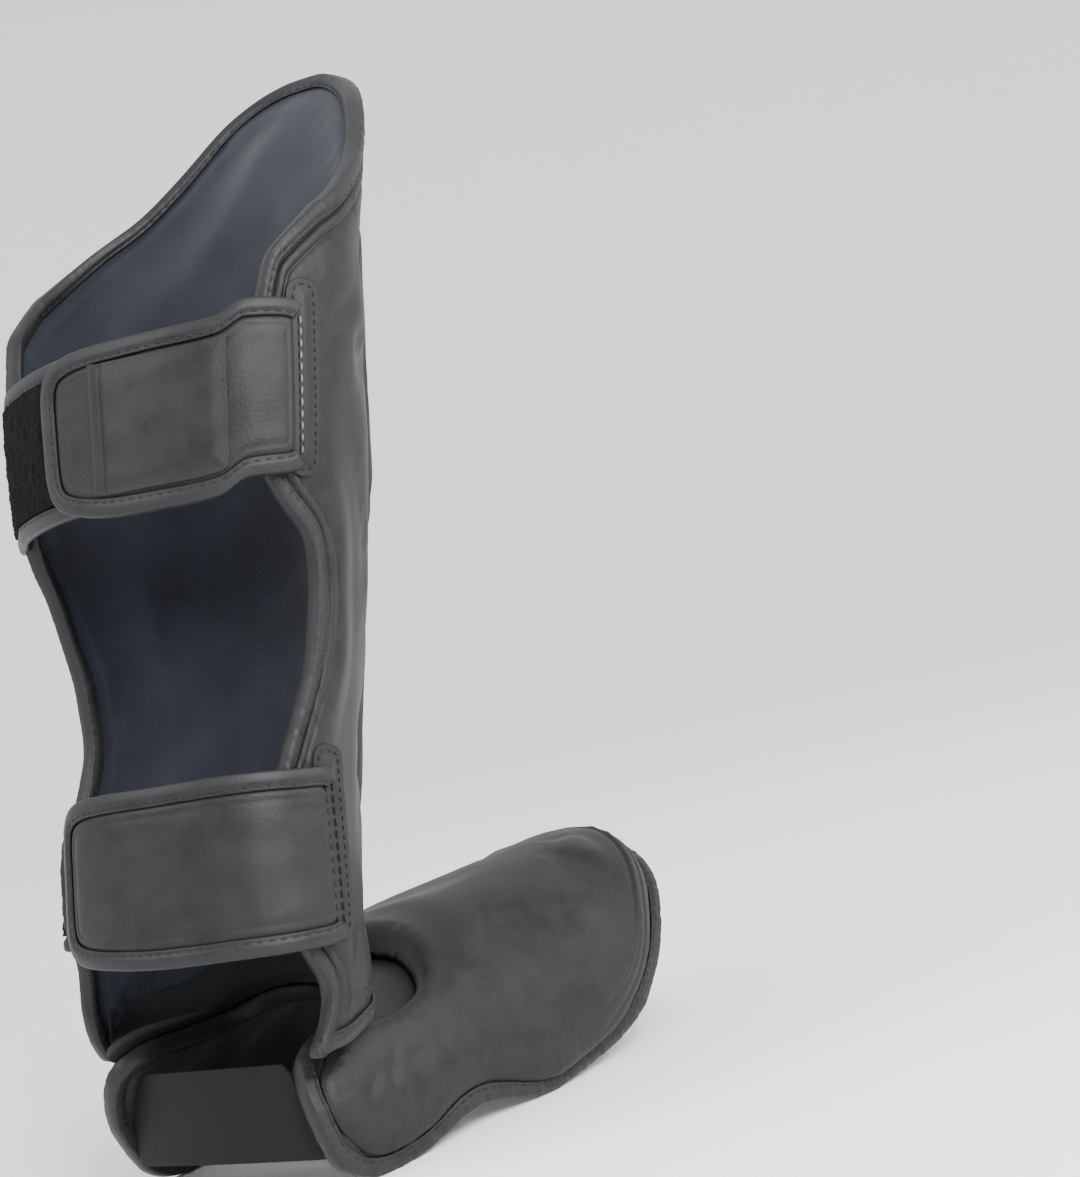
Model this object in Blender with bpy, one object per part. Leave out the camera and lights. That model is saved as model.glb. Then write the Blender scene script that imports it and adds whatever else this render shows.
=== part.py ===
"""Kickboxing shin guard with instep pad, one guard, standing on its heel tips and toe corners.

Frame: +X to the right wing, -Y towards the toe, +Z up, metres. The shin pad and the instep pad
are shaped in an upright frame first, then the whole guard leans forward onto the floor.
"""
import bpy
import bmesh
import numpy as np
from math import radians

# Shin pad
shin_height = 0.370
shin_base = 0.050
shin_half_width = 0.080
shin_front_depth = 0.057
shin_back_depth = 0.050
section_power = 2.15
front_padding = 0.014
wing_padding = 0.007
edge_padding = 0.005
ridge_relief = 0.0045
ridge_soft_angle = 7.0

thick_angle = 60.0
thin_angle = 90.0

# Sheets, bindings and clearances
lining_wall = 0.0015
binding_wall = 0.0012
binding_reach = 0.0075
instep_reach = 0.005
pad_reach = 0.004
clearance = 0.0003
rim_clearance = 0.0006
crossing_clearance = 0.0008
relax_rounds = 300

# Instep pad
instep_length = 0.246
instep_inset = 0.018
instep_half_width = shin_half_width - instep_inset
instep_height = 0.059
instep_pitch = 16.5
instep_power = 2.3
instep_wall = 0.004
pad_side = 0.0045
pad_top = 0.013
pad_clearance = 0.0019
ankle_reach = 0.057

# Ankle gusset
gusset_half_angle = 58.0
gusset_foot_share = 0.6
gusset_wall = 0.002
gusset_tuck = 0.009
gusset_knee_drop = 0.0045
gusset_foot_inset = 0.008

# Straps and tabs
strap_wall = 0.003
patch_wall = 0.0015
tab_wall = 0.002
loop_wall = 0.0015
badge_wall = 0.0008
badge_start, badge_end = 0.28, 0.76
badge_margin = 0.0015

# Elastics: angles on the instep section and shares of the instep's length
elastic_wall = 0.0015
heel_elastic_top = 50.0
heel_elastic_foot = 88.0
heel_elastic_run = 0.055
heel_elastic_bulge = 0.006
sole_strap_angle = 92.0
sole_strap_run = 0.165
sole_strap_width = 0.026
sole_strap_sag = 0.002

# Stance
heel_share = 0.25
floor_press = 0.0008

# Shin sections from the bottom (level 0) to the crown (level 1). Half widths and depths are
# shares of shin_half_width, shin_front_depth and shin_back_depth.
leg_table = {
    "level": (-0.03, 0.03, 0.08, 0.15, 0.23, 0.34, 0.405, 0.465, 0.54, 0.627, 0.708, 0.797, 0.905, 1.0),
    "left": (0.84, 0.866, 0.856, 0.82, 0.785, 0.832, 0.866, 0.89, 0.925, 0.95, 0.963, 0.93, 0.845, 0.70),
    "right": (0.80, 0.822, 0.828, 0.81, 0.79, 0.80, 0.85, 0.90, 0.968, 1.0, 1.013, 0.967, 0.85, 0.70),
    "front": (1.0, 0.995, 0.99, 0.98, 0.975, 0.985, 1.0, 1.01, 1.01, 1.0, 1.0, 1.05, 1.22, 1.46),
    "back": (0.80, 0.82, 0.84, 0.86, 0.88, 0.92, 0.95, 0.98, 1.0, 1.02, 1.03, 1.03, 1.0, 0.98),
}

# Rear edges of the two wings: the angle from the front, degrees, at each level.
wing_table = {
    "level": (-0.027, 0.0, 0.03, 0.065, 0.12, 0.175, 0.23, 0.285,
              0.34, 0.39, 0.44, 0.48, 0.53, 0.60, 0.655, 0.708),
    "left": (103, 102, 102, 108, 117, 114, 108, 102, 97, 96, 98, 112, 122, 124, 120, 115),
    "right": (100, 99, 99, 106, 117, 112, 95, 88, 90, 94, 100, 112, 121, 122, 117, 112),
}

# Crown edge and lower edge: the height share at each angle from the front.
crown_table = {
    "angle": (0, 10, 20, 32, 43, 57, 68, 80, 92, 103, 113.5),
    "level": (1.0, 0.997, 0.988, 0.96, 0.905, 0.852, 0.826, 0.797, 0.77, 0.743, 0.708),
}
hem_table = {
    "angle": (0, 14, 28, 40, 54, 70, 82, 93, 102),
    "level": (0.097, 0.092, 0.078, 0.052, 0.026, 0.02, 0.014, -0.015, -0.027),
}

# Raised shin ridge: half angle in degrees at each level.
ridge_table = {
    "level": (0.157, 0.31, 0.41, 0.47, 0.54, 0.61, 0.71, 0.78, 0.82, 0.854, 0.87),
    "half": (23, 24, 24.5, 27, 31, 32, 34, 33, 26, 14, 0),
}

# Instep envelope: half width share of the instep's half width, and how far the thin base lies
# inside the envelope at its side and top, as shares of the padding there.
foot_table = {
    "run": (-0.02, 0.04, 0.16, 0.325, 0.49, 0.81, 1.0),
    "half": (0.82, 0.84, 0.90, 0.975, 1.0, 1.0, 0.94),
    "side": (0.75, 0.78, 0.85, 0.95, 1.0, 1.0, 1.0),
    "top": (0.4, 0.45, 0.65, 1.0, 1.0, 1.0, 1.0),
}

# Instep edges. Angles are from the ridge, runs are shares of instep_length from the heel end.
instep_rear_table = {
    "way": (0.0, 0.2, 0.34, 0.45, 0.55, 0.65, 0.75, 0.85, 0.93, 1.0),
    "angle": (0, 15, 27, 36, 42, 48, 57, 69, 79, 88),
    "run": (0.25, 0.235, 0.205, 0.16, 0.105, 0.055, 0.038, 0.024, 0.024, 0.034),
}
instep_side_table = {
    "run": (0.034, 0.06, 0.09, 0.14, 0.20, 0.268, 0.313, 0.355, 0.455, 0.49),
    "angle": (88, 93, 96.5, 98.6, 98, 94.4, 93, 94.6, 103, 104.5),
}
instep_toe_table = {
    "angle": (0, 14, 27, 43, 62, 82, 90, 95, 100, 104.5),
    "run": (0.985, 0.975, 0.95, 0.91, 0.845, 0.775, 0.735, 0.695, 0.63, 0.49),
}
pad_rear_table = {
    "way": (0.0, 0.15, 0.3, 0.42, 0.52, 0.6, 0.7, 0.8, 0.9, 1.0),
    "angle": (0, 14, 27, 38, 45, 48, 50, 55, 64, 76),
    "run": (0.395, 0.383, 0.358, 0.33, 0.297, 0.26, 0.205, 0.14, 0.085, 0.07),
}
pad_side_table = {
    "run": (0.07, 0.11, 0.15, 0.20, 0.268, 0.32, 0.38, 0.455, 0.49),
    "angle": (76, 86, 89.5, 89.5, 86, 84.5, 87, 94, 95.5),
}
pad_toe_table = {
    "angle": (0, 14, 27, 43, 62, 78, 86, 90, 94, 95.5),
    "run": (0.957, 0.947, 0.922, 0.88, 0.814, 0.746, 0.69, 0.645, 0.565, 0.49),
}

# Straps run from the root on the left wing round the back. Width share and drop, a share of the
# width, at each share of the way to the rounded end.
strap_shape_table = {
    "way": (0.0, 0.12, 0.3, 0.5, 0.7, 0.86, 0.95, 1.0),
    "width": (1.0, 1.0, 1.02, 1.02, 1.01, 0.96, 0.78, 0.48),
}
upper_path_table = {
    "way": (0.0, 0.25, 0.37, 0.5, 0.7, 1.0),
    "drop": (0.0, 0.02, 0.12, 0.15, 0.16, 0.12),
}
lower_path_table = {
    "way": (0.0, 0.15, 0.4, 0.7, 1.0),
    "drop": (0.0, 0.03, 0.06, 0.09, 0.07),
}

# Each closure: strap root and end, the patch under its root and the tab on the other wing, as
# angles in degrees; middle levels; widths in metres; and the way at which the strap has risen
# onto the tab.
upper_closure = {
    "root": -104.0, "end": -188.0, "level": 0.5825, "width": 0.058, "risen": 0.55, "path": upper_path_table,
    "patch_start": -94.0, "patch_end": -109.0, "patch_level": 0.5925, "patch_width": 0.070,
    "tab_start": 100.0, "tab_end": 202.0, "tab_level": 0.5655, "tab_width": 0.055,
}
lower_closure = {
    "root": -88.0, "end": -199.0, "level": 0.155, "width": 0.0575, "risen": 0.6, "path": lower_path_table,
    "patch_start": -81.0, "patch_end": -95.5, "patch_level": 0.165, "patch_width": 0.0675,
    "tab_start": 96.0, "tab_end": 186.0, "tab_level": 0.149, "tab_width": 0.0455,
}


def smooth(table, key, column, at):
    """Read a table column as a smooth curve that keeps the rise and fall of its rows."""
    xs = np.asarray(table[key], float)
    ys = np.asarray(table[column], float)
    step = np.diff(xs)
    slope = np.diff(ys) / step
    tangent = np.zeros_like(ys)
    tangent[0], tangent[-1] = slope[0], slope[-1]
    before, after = slope[:-1], slope[1:]
    keep = before * after > 0
    safe_before = np.where(keep, before, 1.0)
    safe_after = np.where(keep, after, 1.0)
    wide, narrow = 2 * step[1:] + step[:-1], step[1:] + 2 * step[:-1]
    tangent[1:-1] = np.where(keep, (wide + narrow) / (wide / safe_before + narrow / safe_after), 0.0)
    at = np.clip(np.asarray(at, float), xs[0], xs[-1])
    row = np.clip(np.searchsorted(xs, at) - 1, 0, len(step) - 1)
    t = (at - xs[row]) / step[row]
    rise = (2 * t**3 - 3 * t**2 + 1) * ys[row] + (3 * t**2 - 2 * t**3) * ys[row + 1]
    bend = (t**3 - 2 * t**2 + t) * tangent[row] + (t**3 - t**2) * tangent[row + 1]
    return rise + step[row] * bend


def soft_step(value):
    """Rise smoothly from 0 to 1 as the value goes from 0 to 1."""
    t = np.clip(value, 0.0, 1.0)
    return t * t * (3 - 2 * t)


def superellipse(angle, half, front, back, power):
    """Point of a rounded section: angle 0 at the front, the depth differing front and back."""
    s, c = np.sin(angle), np.cos(angle)
    across = half * np.sign(s) * np.abs(s) ** (2 / power)
    along = np.where(c > 0, front, back) * np.sign(c) * np.abs(c) ** (2 / power)
    return across, along


def leg(angle, level, inset):
    """Point on the shin section at an angle (degrees) and level, moved inwards by inset."""
    turn = np.radians(angle)
    left = smooth(leg_table, "level", "left", level)
    right = smooth(leg_table, "level", "right", level)
    half = shin_half_width * np.where(np.sin(turn) < 0, left, right) - inset
    front = shin_front_depth * smooth(leg_table, "level", "front", level) - inset
    back = shin_back_depth * smooth(leg_table, "level", "back", level) - inset
    across, along = superellipse(turn, half, front, back, section_power)
    return np.stack([across, -along, shin_base + shin_height * level + 0 * across], -1)


def foot(angle, run, side_in, top_in):
    """Point on the instep section at an angle (degrees) and run share, inside the envelope."""
    half = instep_half_width * smooth(foot_table, "run", "half", run) - side_in
    height = instep_height - top_in
    across, rise = superellipse(np.radians(angle), half, height, height, instep_power)
    pitch = radians(instep_pitch)
    away = instep_length * run
    y = ankle_reach - shin_front_depth - away * np.cos(pitch) + rise * np.sin(pitch)
    z = away * np.sin(pitch) + rise * np.cos(pitch)
    return np.stack([across, y + 0 * across, z + 0 * across], -1)


def base_foot(angle, run, depth):
    """Point on the thin instep base, depth inside its outer face."""
    side = pad_side * smooth(foot_table, "run", "side", run)
    top = pad_top * smooth(foot_table, "run", "top", run)
    return foot(angle, run, side + depth, top + depth)


def spacing(count, edge):
    """Shares from 0 to 1 with a narrow first and last step of the given share."""
    return np.concatenate([[0.0], np.linspace(edge, 1 - edge, count - 2), [1.0]])


def border(rows, columns):
    """Grid indices round the border of a grid, and of the ring just inside it."""
    i = np.concatenate([np.zeros(columns - 1), np.arange(rows - 1), np.full(columns - 1, rows - 1),
                        np.arange(rows - 1, 0, -1)]).astype(int)
    j = np.concatenate([np.arange(columns - 1), np.full(rows - 1, columns - 1),
                        np.arange(columns - 1, 0, -1), np.zeros(rows - 1)]).astype(int)
    return i, j, np.clip(i, 1, rows - 2), np.clip(j, 1, columns - 2)


def fill(low, high, left, right, scale, reach):
    """Grid of an outline's inside: low and high run across, left and right run up.

    The first ring lies at the reach inside the outline. The rest is relaxed by the smooth-net
    rule that weighs each neighbour pair by the squared spacing across it, so no cell folds over.
    """
    rows, columns = len(left), len(low)
    grid = np.zeros((rows, columns, 2))
    grid[0], grid[-1], grid[:, 0], grid[:, -1] = low, high, left, right
    i, j, inner_i, inner_j = border(rows, columns)
    loop = grid[i, j] * scale
    along = np.roll(loop, -1, 0) - np.roll(loop, 1, 0)
    inward = np.stack([-along[:, 1], along[:, 0]], -1) / np.linalg.norm(along, axis=1)[:, None]
    inner = (loop + inward * reach) / scale
    corner = ((i == 0) | (i == rows - 1)) & ((j == 0) | (j == columns - 1))
    middle = (i == inner_i) | (j == inner_j)
    for chosen in (middle & ~corner, corner):
        grid[inner_i[chosen], inner_j[chosen]] = inner[chosen]
    ring = grid[1:-1, 1:-1] * scale
    u = np.linspace(0, 1, columns - 2)[None, :, None]
    v = np.linspace(0, 1, rows - 2)[:, None, None]
    net = (1 - u) * ring[:, :1] + u * ring[:, -1:] + (1 - v) * ring[:1] + v * ring[-1:]
    net -= (1 - v) * ((1 - u) * ring[0, 0] + u * ring[0, -1]) + v * ((1 - u) * ring[-1, 0] + u * ring[-1, -1])
    for _ in range(relax_rounds):
        run_across, run_up = net[1:-1, 2:] - net[1:-1, :-2], net[2:, 1:-1] - net[:-2, 1:-1]
        wide, tall = (run_across**2).sum(-1)[..., None], (run_up**2).sum(-1)[..., None]
        slant = (run_across * run_up).sum(-1)[..., None]
        twist = net[2:, 2:] - net[2:, :-2] - net[:-2, 2:] + net[:-2, :-2]
        beside, above = net[1:-1, 2:] + net[1:-1, :-2], net[2:, 1:-1] + net[:-2, 1:-1]
        net[1:-1, 1:-1] = (tall * beside + wide * above - 0.5 * slant * twist) / (2 * (tall + wide))
    grid[1:-1, 1:-1] = net / scale
    return grid


def even(points, scale, shares):
    """Pick points along a curve at shares of its length in metres, which scale gives."""
    steps = np.linalg.norm(np.diff(points, axis=0) * scale, axis=1)
    length = np.concatenate([[0.0], np.cumsum(steps)])
    at = shares * length[-1]
    return np.stack([np.interp(at, length, points[:, k]) for k in range(2)], -1)


def triangles(rows, columns, base, flip):
    """Triangles of a grid, each cell cut along the diagonal that points to the nearest corner."""
    i, j = np.meshgrid(np.arange(rows - 1), np.arange(columns - 1), indexing="ij")
    a = base + i * columns + j
    b, c, d = a + 1, a + columns + 1, a + columns
    same = ((2 * i < rows - 1) == (2 * j < columns - 1))[..., None]
    first = np.where(same, np.stack([a, b, c], -1), np.stack([a, b, d], -1))
    second = np.where(same, np.stack([a, c, d], -1), np.stack([b, c, d], -1))
    face = np.concatenate([first.reshape(-1, 3), second.reshape(-1, 3)])
    return face[:, ::-1] if flip else face


pieces = []


def shell(name, outer, inner):
    """Closed wall between two grids of the same size."""
    rows, columns = outer.shape[:2]
    i, j, _, _ = border(rows, columns)
    ring = i * columns + j
    after = np.roll(ring, -1)
    skip = rows * columns
    rim = np.concatenate([np.stack([ring, ring + skip, after], -1),
                          np.stack([ring + skip, after + skip, after], -1)])
    faces = np.concatenate([triangles(rows, columns, 0, False), triangles(rows, columns, skip, True), rim])
    points = np.concatenate([outer.reshape(-1, 3), inner.reshape(-1, 3)])
    pieces.append([name, points, faces.tolist()])


def sweep(name, rings, closed, on_rim, cut):
    """Closed strip through a row of profile rings, joined end to end or capped.

    on_rim marks the profile points at the border, and cut the cells whose diagonal runs from the
    border forwards, so that the strip's legs are folded as the wall under them is.
    """
    count, sides = rings.shape[:2]
    last = count if closed else count - 1
    faces = []
    for side in range(sides):
        after = (side + 1) % sides
        here = np.arange(last)
        ahead = (here + 1) % count
        a, b = here * sides + side, ahead * sides + side
        c, d = ahead * sides + after, here * sides + after
        leg_side = on_rim[side] != on_rim[after]
        turned = (leg_side & (cut[:last] != on_rim[side]))[:, None]
        faces += np.where(turned, np.stack([a, b, d], -1), np.stack([a, b, c], -1)).tolist()
        faces += np.where(turned, np.stack([b, c, d], -1), np.stack([a, c, d], -1)).tolist()
    if not closed:
        faces += [list(range(sides)), list(range((count - 1) * sides, count * sides))[::-1]]
    pieces.append([name, rings.reshape(-1, 3), faces])


def edge_strip(name, surface, grid, top, low, keep=None, wrap=True):
    """Binding round a grid's border: over the top face, round the edge, and under the low face.

    surface(grid, depth) gives the wall's points, top and low are the depths of its two faces.
    Without wrap the strip stops level with the low face.
    """
    rows, columns = grid.shape[:2]
    i, j, inner_i, inner_j = border(rows, columns)
    if keep is not None:
        chosen = keep(i, j)
        start = int(np.argmax(chosen & ~np.roll(chosen, 1)))
        order = np.roll(np.arange(len(i)), -start)
        order = order[chosen[order]]
        i, j, inner_i, inner_j = i[order], j[order], inner_i[order], inner_j[order]
    out_face, out_bind = top - clearance, top - clearance - binding_wall
    in_face, in_bind = low + clearance, low + clearance + binding_wall

    def at(depth, rim):
        points = surface(grid, depth)
        return points[i, j] if rim else points[inner_i, inner_j]

    middle = 0.5 * (top + low)
    edge, inside = at(middle, True), at(middle, False)
    away = edge - inside
    along = np.roll(edge, -1, 0) - np.roll(edge, 1, 0)
    if keep is not None:
        along[0], along[-1] = edge[1] - edge[0], edge[-1] - edge[-2]
    along /= np.linalg.norm(along, axis=1)[:, None] + 1e-12
    away -= (away * along).sum(1)[:, None] * along
    away /= np.linalg.norm(away, axis=1)[:, None] + 1e-12
    near, far = away * rim_clearance, away * (rim_clearance + binding_wall)
    ahead_i, ahead_j = np.roll(i, -1), np.roll(j, -1)
    cell_i = np.minimum(np.minimum(i, ahead_i), np.minimum(inner_i, np.roll(inner_i, -1)))
    cell_j = np.minimum(np.minimum(j, ahead_j), np.minimum(inner_j, np.roll(inner_j, -1)))
    even_cell = (2 * cell_i < rows - 1) == (2 * cell_j < columns - 1)
    cut = ((i - cell_i) == (j - cell_j)) == even_cell
    profile = [at(out_bind, False), at(out_bind, True) + far]
    if wrap:
        profile += [at(in_bind, True) + far, at(in_bind, False), at(in_face, False), at(in_face, True) + near]
    else:
        profile += [at(low, True) + far, at(low, True) + near]
    profile += [at(out_face, True) + near, at(out_face, False)]
    on_rim = [False, True, True, False] * 2 if wrap else [False, True, True, True, True, False]
    sweep(name, np.stack(profile, 1), keep is None, on_rim, cut)


# Shin pad grid: angle and level at each point. A scale turns a grid's numbers into metres.
shin_columns, shin_rows = 21, 21
shin_across = spacing(shin_columns, 0.012)
shin_up = spacing(shin_rows, 0.009)
dense = np.linspace(0.0, 1.0, 400)
shin_scale = np.array([radians(0.85 * shin_half_width), shin_height])
instep_scale = np.array([radians(0.9 * instep_half_width), instep_length])
wing_low, wing_high = wing_table["level"][0], wing_table["level"][-1]


def wing_edge(side, sign):
    level = wing_low + (wing_high - wing_low) * dense
    return even(np.stack([sign * smooth(wing_table, "level", side, level), level], -1), shin_scale, shin_up)


def cross_edge(table, key):
    left, right = -wing_table["left"][key], wing_table["right"][key]
    angle = left + (right - left) * dense
    outer = np.where(angle < 0, table["angle"][-1] / -left, table["angle"][-1] / right)
    level = smooth(table, "angle", "level", np.abs(angle) * outer)
    return even(np.stack([angle, level], -1), shin_scale, shin_across)


shin_grid = fill(cross_edge(hem_table, 0), cross_edge(crown_table, -1), wing_edge("left", -1),
                 wing_edge("right", 1), shin_scale, binding_reach)
row_at, column_at = np.meshgrid(np.arange(shin_rows), np.arange(shin_columns), indexing="ij")
from_edge = np.minimum(np.minimum(row_at, shin_rows - 1 - row_at),
                       np.minimum(column_at, shin_columns - 1 - column_at))


def padding_at(angle):
    """Padding thickness away from the edge, thick in front and thin on the wings."""
    front = soft_step((thin_angle - np.abs(angle)) / (thin_angle - thick_angle))
    return wing_padding + (front_padding - wing_padding) * front


padding = edge_padding + (padding_at(shin_grid[..., 0]) - edge_padding) * soft_step((from_edge - 1) / 2.5)


def shin_surface(grid, depth):
    return leg(grid[..., 0], grid[..., 1], depth)


def ridge_height(grid):
    half = smooth(ridge_table, "level", "half", grid[..., 1])
    side = soft_step((half - np.abs(grid[..., 0])) / ridge_soft_angle + 0.5)
    foot_end = soft_step((grid[..., 1] - ridge_table["level"][0]) / 0.012 + 0.5)
    head_end = soft_step((ridge_table["level"][-1] - grid[..., 1]) / 0.02 + 0.5)
    return ridge_relief * side * foot_end * head_end * (from_edge > 1)


shell("shin_cover", shin_surface(shin_grid, -ridge_height(shin_grid)), shin_surface(shin_grid, padding))
lining_top = padding + clearance
shell("shin_lining", shin_surface(shin_grid, lining_top), shin_surface(shin_grid, lining_top + lining_wall))
shin_rim_wall = edge_padding + clearance + lining_wall
edge_strip("shin_binding", shin_surface, shin_grid, 0.0, shin_rim_wall)

# Instep grids: angle and run at each point, for the thin base and for the thick pad on it.
foot_columns, foot_rows = 15, 15


def foot_grid(rear, side, toe, columns, rows, across_edge, up_edge, reach):
    across, up = spacing(columns, across_edge), spacing(rows, up_edge)
    way = 2 * dense - 1
    rear_angle = np.sign(way) * smooth(rear, "way", "angle", np.abs(way))
    rear_run = smooth(rear, "way", "run", np.abs(way))
    low = even(np.stack([rear_angle, rear_run], -1), instep_scale, across)
    toe_angle = toe["angle"][-1] * way
    toe_run = smooth(toe, "angle", "run", np.abs(toe_angle))
    high = even(np.stack([toe_angle, toe_run], -1), instep_scale, across)
    run = side["run"][0] + (side["run"][-1] - side["run"][0]) * dense
    right = even(np.stack([smooth(side, "run", "angle", run), run], -1), instep_scale, up)
    left = right * np.array([-1.0, 1.0])
    return fill(low, high, left, right, instep_scale, reach)


instep_grid = foot_grid(instep_rear_table, instep_side_table, instep_toe_table,
                        foot_columns, foot_rows, 0.012, 0.022, instep_reach)
pad_grid = foot_grid(pad_rear_table, pad_side_table, pad_toe_table, 13, 13, 0.012, 0.025, pad_reach)


def instep_surface(grid, depth):
    return base_foot(grid[..., 0], grid[..., 1], depth)


shell("instep_base", instep_surface(instep_grid, 0.0), instep_surface(instep_grid, instep_wall))
instep_lining_top = instep_wall + clearance
shell("instep_lining", instep_surface(instep_grid, instep_lining_top),
      instep_surface(instep_grid, instep_lining_top + lining_wall))
edge_strip("instep_binding", instep_surface, instep_grid, 0.0, instep_lining_top + lining_wall)

pad_rows, pad_columns = pad_grid.shape[:2]
pad_i, pad_j = np.meshgrid(np.arange(pad_rows), np.arange(pad_columns), indexing="ij")
pad_from_edge = np.minimum(np.minimum(pad_i, pad_rows - 1 - pad_i),
                           np.minimum(pad_j, pad_columns - 1 - pad_j))
rounding = np.where(pad_from_edge == 0, 0.45, np.where(pad_from_edge == 1, 0.1, 0.0))
pad_side_in = (pad_side - pad_clearance) * smooth(foot_table, "run", "side", pad_grid[..., 1])
pad_top_in = (pad_top - pad_clearance) * smooth(foot_table, "run", "top", pad_grid[..., 1])
shell("instep_pad", foot(pad_grid[..., 0], pad_grid[..., 1], pad_side_in * rounding, pad_top_in * rounding),
      instep_surface(pad_grid, -pad_clearance))


# Ankle gusset: a sheet from inside the shin lining down to the instep base behind the pad.
gusset_turn = np.linspace(-gusset_half_angle, gusset_half_angle, 15)
gusset_deep = edge_padding + lining_wall + binding_wall + 4 * clearance
gusset_hem = smooth(hem_table, "angle", "level", np.abs(gusset_turn))
gusset_foot_angle = gusset_turn * gusset_foot_share
rear_way = np.interp(np.abs(gusset_foot_angle), instep_rear_table["angle"], instep_rear_table["way"])
gusset_run = smooth(instep_rear_table, "way", "run", rear_way) + gusset_foot_inset / instep_length
gusset_lift = gusset_wall + 2 * clearance


gusset_head = leg(gusset_turn, gusset_hem + gusset_tuck / shin_height, gusset_deep)
gusset_knee = leg(gusset_turn, gusset_hem - gusset_knee_drop / shin_height, gusset_deep)
gusset_toe = base_foot(gusset_foot_angle, gusset_run, -gusset_lift)
gusset_outer = np.stack([gusset_toe, 0.5 * (gusset_knee + gusset_toe), gusset_knee, gusset_head])
gusset_facing = np.cross(np.gradient(gusset_outer, axis=1), np.gradient(gusset_outer, axis=0))
gusset_facing /= np.linalg.norm(gusset_facing, axis=2, keepdims=True)
shell("ankle_gusset", gusset_outer, gusset_outer - gusset_facing * gusset_wall)


# Straps, tabs and patches lie on the shin section or on its rounded way across the back.
def lifted(grid, depth):
    return leg(grid[..., 0], grid[..., 1], depth - grid[..., 2])


def band(start, end, level, width, lift, way, up):
    """Grid of a band: angle, level and lift of its outer face, from its start to its end."""
    angle = start + (end - start) * way
    half = 0.5 * width / shin_height
    across = level + up[:, None] * half
    return np.stack(np.broadcast_arrays(angle[None, :], across, lift + 0 * level[None, :]), -1)


def band_shell(name, grid, wall):
    shell(name, lifted(grid, 0.0), lifted(grid, wall))


def not_root(i, j):
    """Borders that a strap or tab binding follows: all but the sewn end."""
    return ~((j == 0) & (i > 0) & (i < len(band_up) - 1))


rim_top = clearance + binding_wall
tab_floor = rim_top + crossing_clearance
tab_top = tab_floor + tab_wall
loop_top = tab_top + clearance + loop_wall
strap_floor_far = max(loop_top, tab_top + rim_top) + clearance
strap_floor_root = clearance + patch_wall + 2 * clearance
band_up = spacing(5, 0.14) * 2 - 1
panel_up = np.linspace(-1.0, 1.0, 4)
patch_up = np.linspace(-1.0, 1.0, 6)
strap_way = np.concatenate([np.linspace(0, 0.86, 12), [0.91, 0.95, 0.98, 1.0]])
tab_way = spacing(12, 0.08)
panel_way = np.linspace(0.03, 0.9, 12)
patch_way = np.array([0.0, 0.12, 0.3, 0.7, 0.88, 1.0])
patch_shape = np.array([0.8, 0.95, 1.0, 1.0, 0.95, 0.8])
badge_way = np.linspace(badge_start, badge_end, 8)


def strap_line(part, way):
    """Middle level and under-side lift of a strap at shares of its way."""
    level = part["level"] - smooth(part["path"], "way", "drop", way) * part["width"] / shin_height
    lift = strap_floor_root + (strap_floor_far - strap_floor_root) * soft_step(way / part["risen"])
    return level, lift


for side, part in (("upper", upper_closure), ("lower", lower_closure)):
    patch_grid = band(part["patch_start"], part["patch_end"], part["patch_level"] + 0 * patch_way,
                      part["patch_width"] * patch_shape, clearance + patch_wall, patch_way, patch_up)
    band_shell(side + "_strap_patch", patch_grid, patch_wall)

    tab_shape = part["tab_width"] * (1 - 0.12 * soft_step((tab_way - 0.8) / 0.2))
    tab_grid = band(part["tab_start"], part["tab_end"], part["tab_level"] + 0 * tab_way, tab_shape, tab_top,
                    tab_way, band_up)
    band_shell(side + "_tab", tab_grid, tab_wall)
    edge_strip(side + "_tab_binding", lifted, tab_grid, 0.0, tab_wall, not_root, False)
    panel_width = 0.9 * (part["tab_width"] - 2 * (binding_reach + 4 * clearance))
    panel_grid = band(part["tab_start"], part["tab_end"], part["tab_level"] + 0 * panel_way,
                      panel_width + 0 * panel_way, loop_top, panel_way, panel_up)
    band_shell(side + "_loop_panel", panel_grid, loop_wall)

    strap_level, strap_lift = strap_line(part, strap_way)
    strap_shape = part["width"] * smooth(strap_shape_table, "way", "width", strap_way)
    strap_grid = band(part["root"], part["end"], strap_level, strap_shape, strap_lift + strap_wall,
                      strap_way, band_up)
    band_shell(side + "_strap", strap_grid, strap_wall)
    edge_strip(side + "_strap_binding", lifted, strap_grid, 0.0, strap_wall, not_root, False)

badge_level, badge_lift = strap_line(upper_closure, badge_way)
badge_width = upper_closure["width"] - 2 * (binding_reach + badge_margin)
badge_grid = band(upper_closure["root"], upper_closure["end"], badge_level, badge_width + 0 * badge_way,
                  badge_lift + strap_wall + clearance + badge_wall, badge_way, panel_up)
band_shell("upper_strap_badge", badge_grid, badge_wall)

# Elastics between the two sides of the instep pad, inside its lining.
inside = instep_lining_top + lining_wall + rim_top + 3 * clearance


def elastic(name, angles, runs, bulge, sag, thick):
    """Band from the left side of the instep to the right, bulging backwards or sagging."""
    across = np.linspace(-1.0, 1.0, 11)
    ends = base_foot(angles, runs, inside)
    rise = 1 - across**2
    grid = np.stack([across * ends[:, 0:1], ends[:, 1:2] + bulge * rise, ends[:, 2:3] - sag * rise], -1)
    shell(name, grid, grid + thick)


heel_angles = np.linspace(heel_elastic_top, heel_elastic_foot, 6)
elastic("heel_elastic", heel_angles, np.full(6, heel_elastic_run), heel_elastic_bulge, 0.0,
        np.array([0.0, -elastic_wall, 0.0]))
sole_runs = sole_strap_run + np.linspace(0, sole_strap_width / instep_length, 4)
elastic("sole_elastic", np.full(4, sole_strap_angle), sole_runs, 0.0, sole_strap_sag,
        np.array([0.0, 0.0, elastic_wall]))


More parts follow.
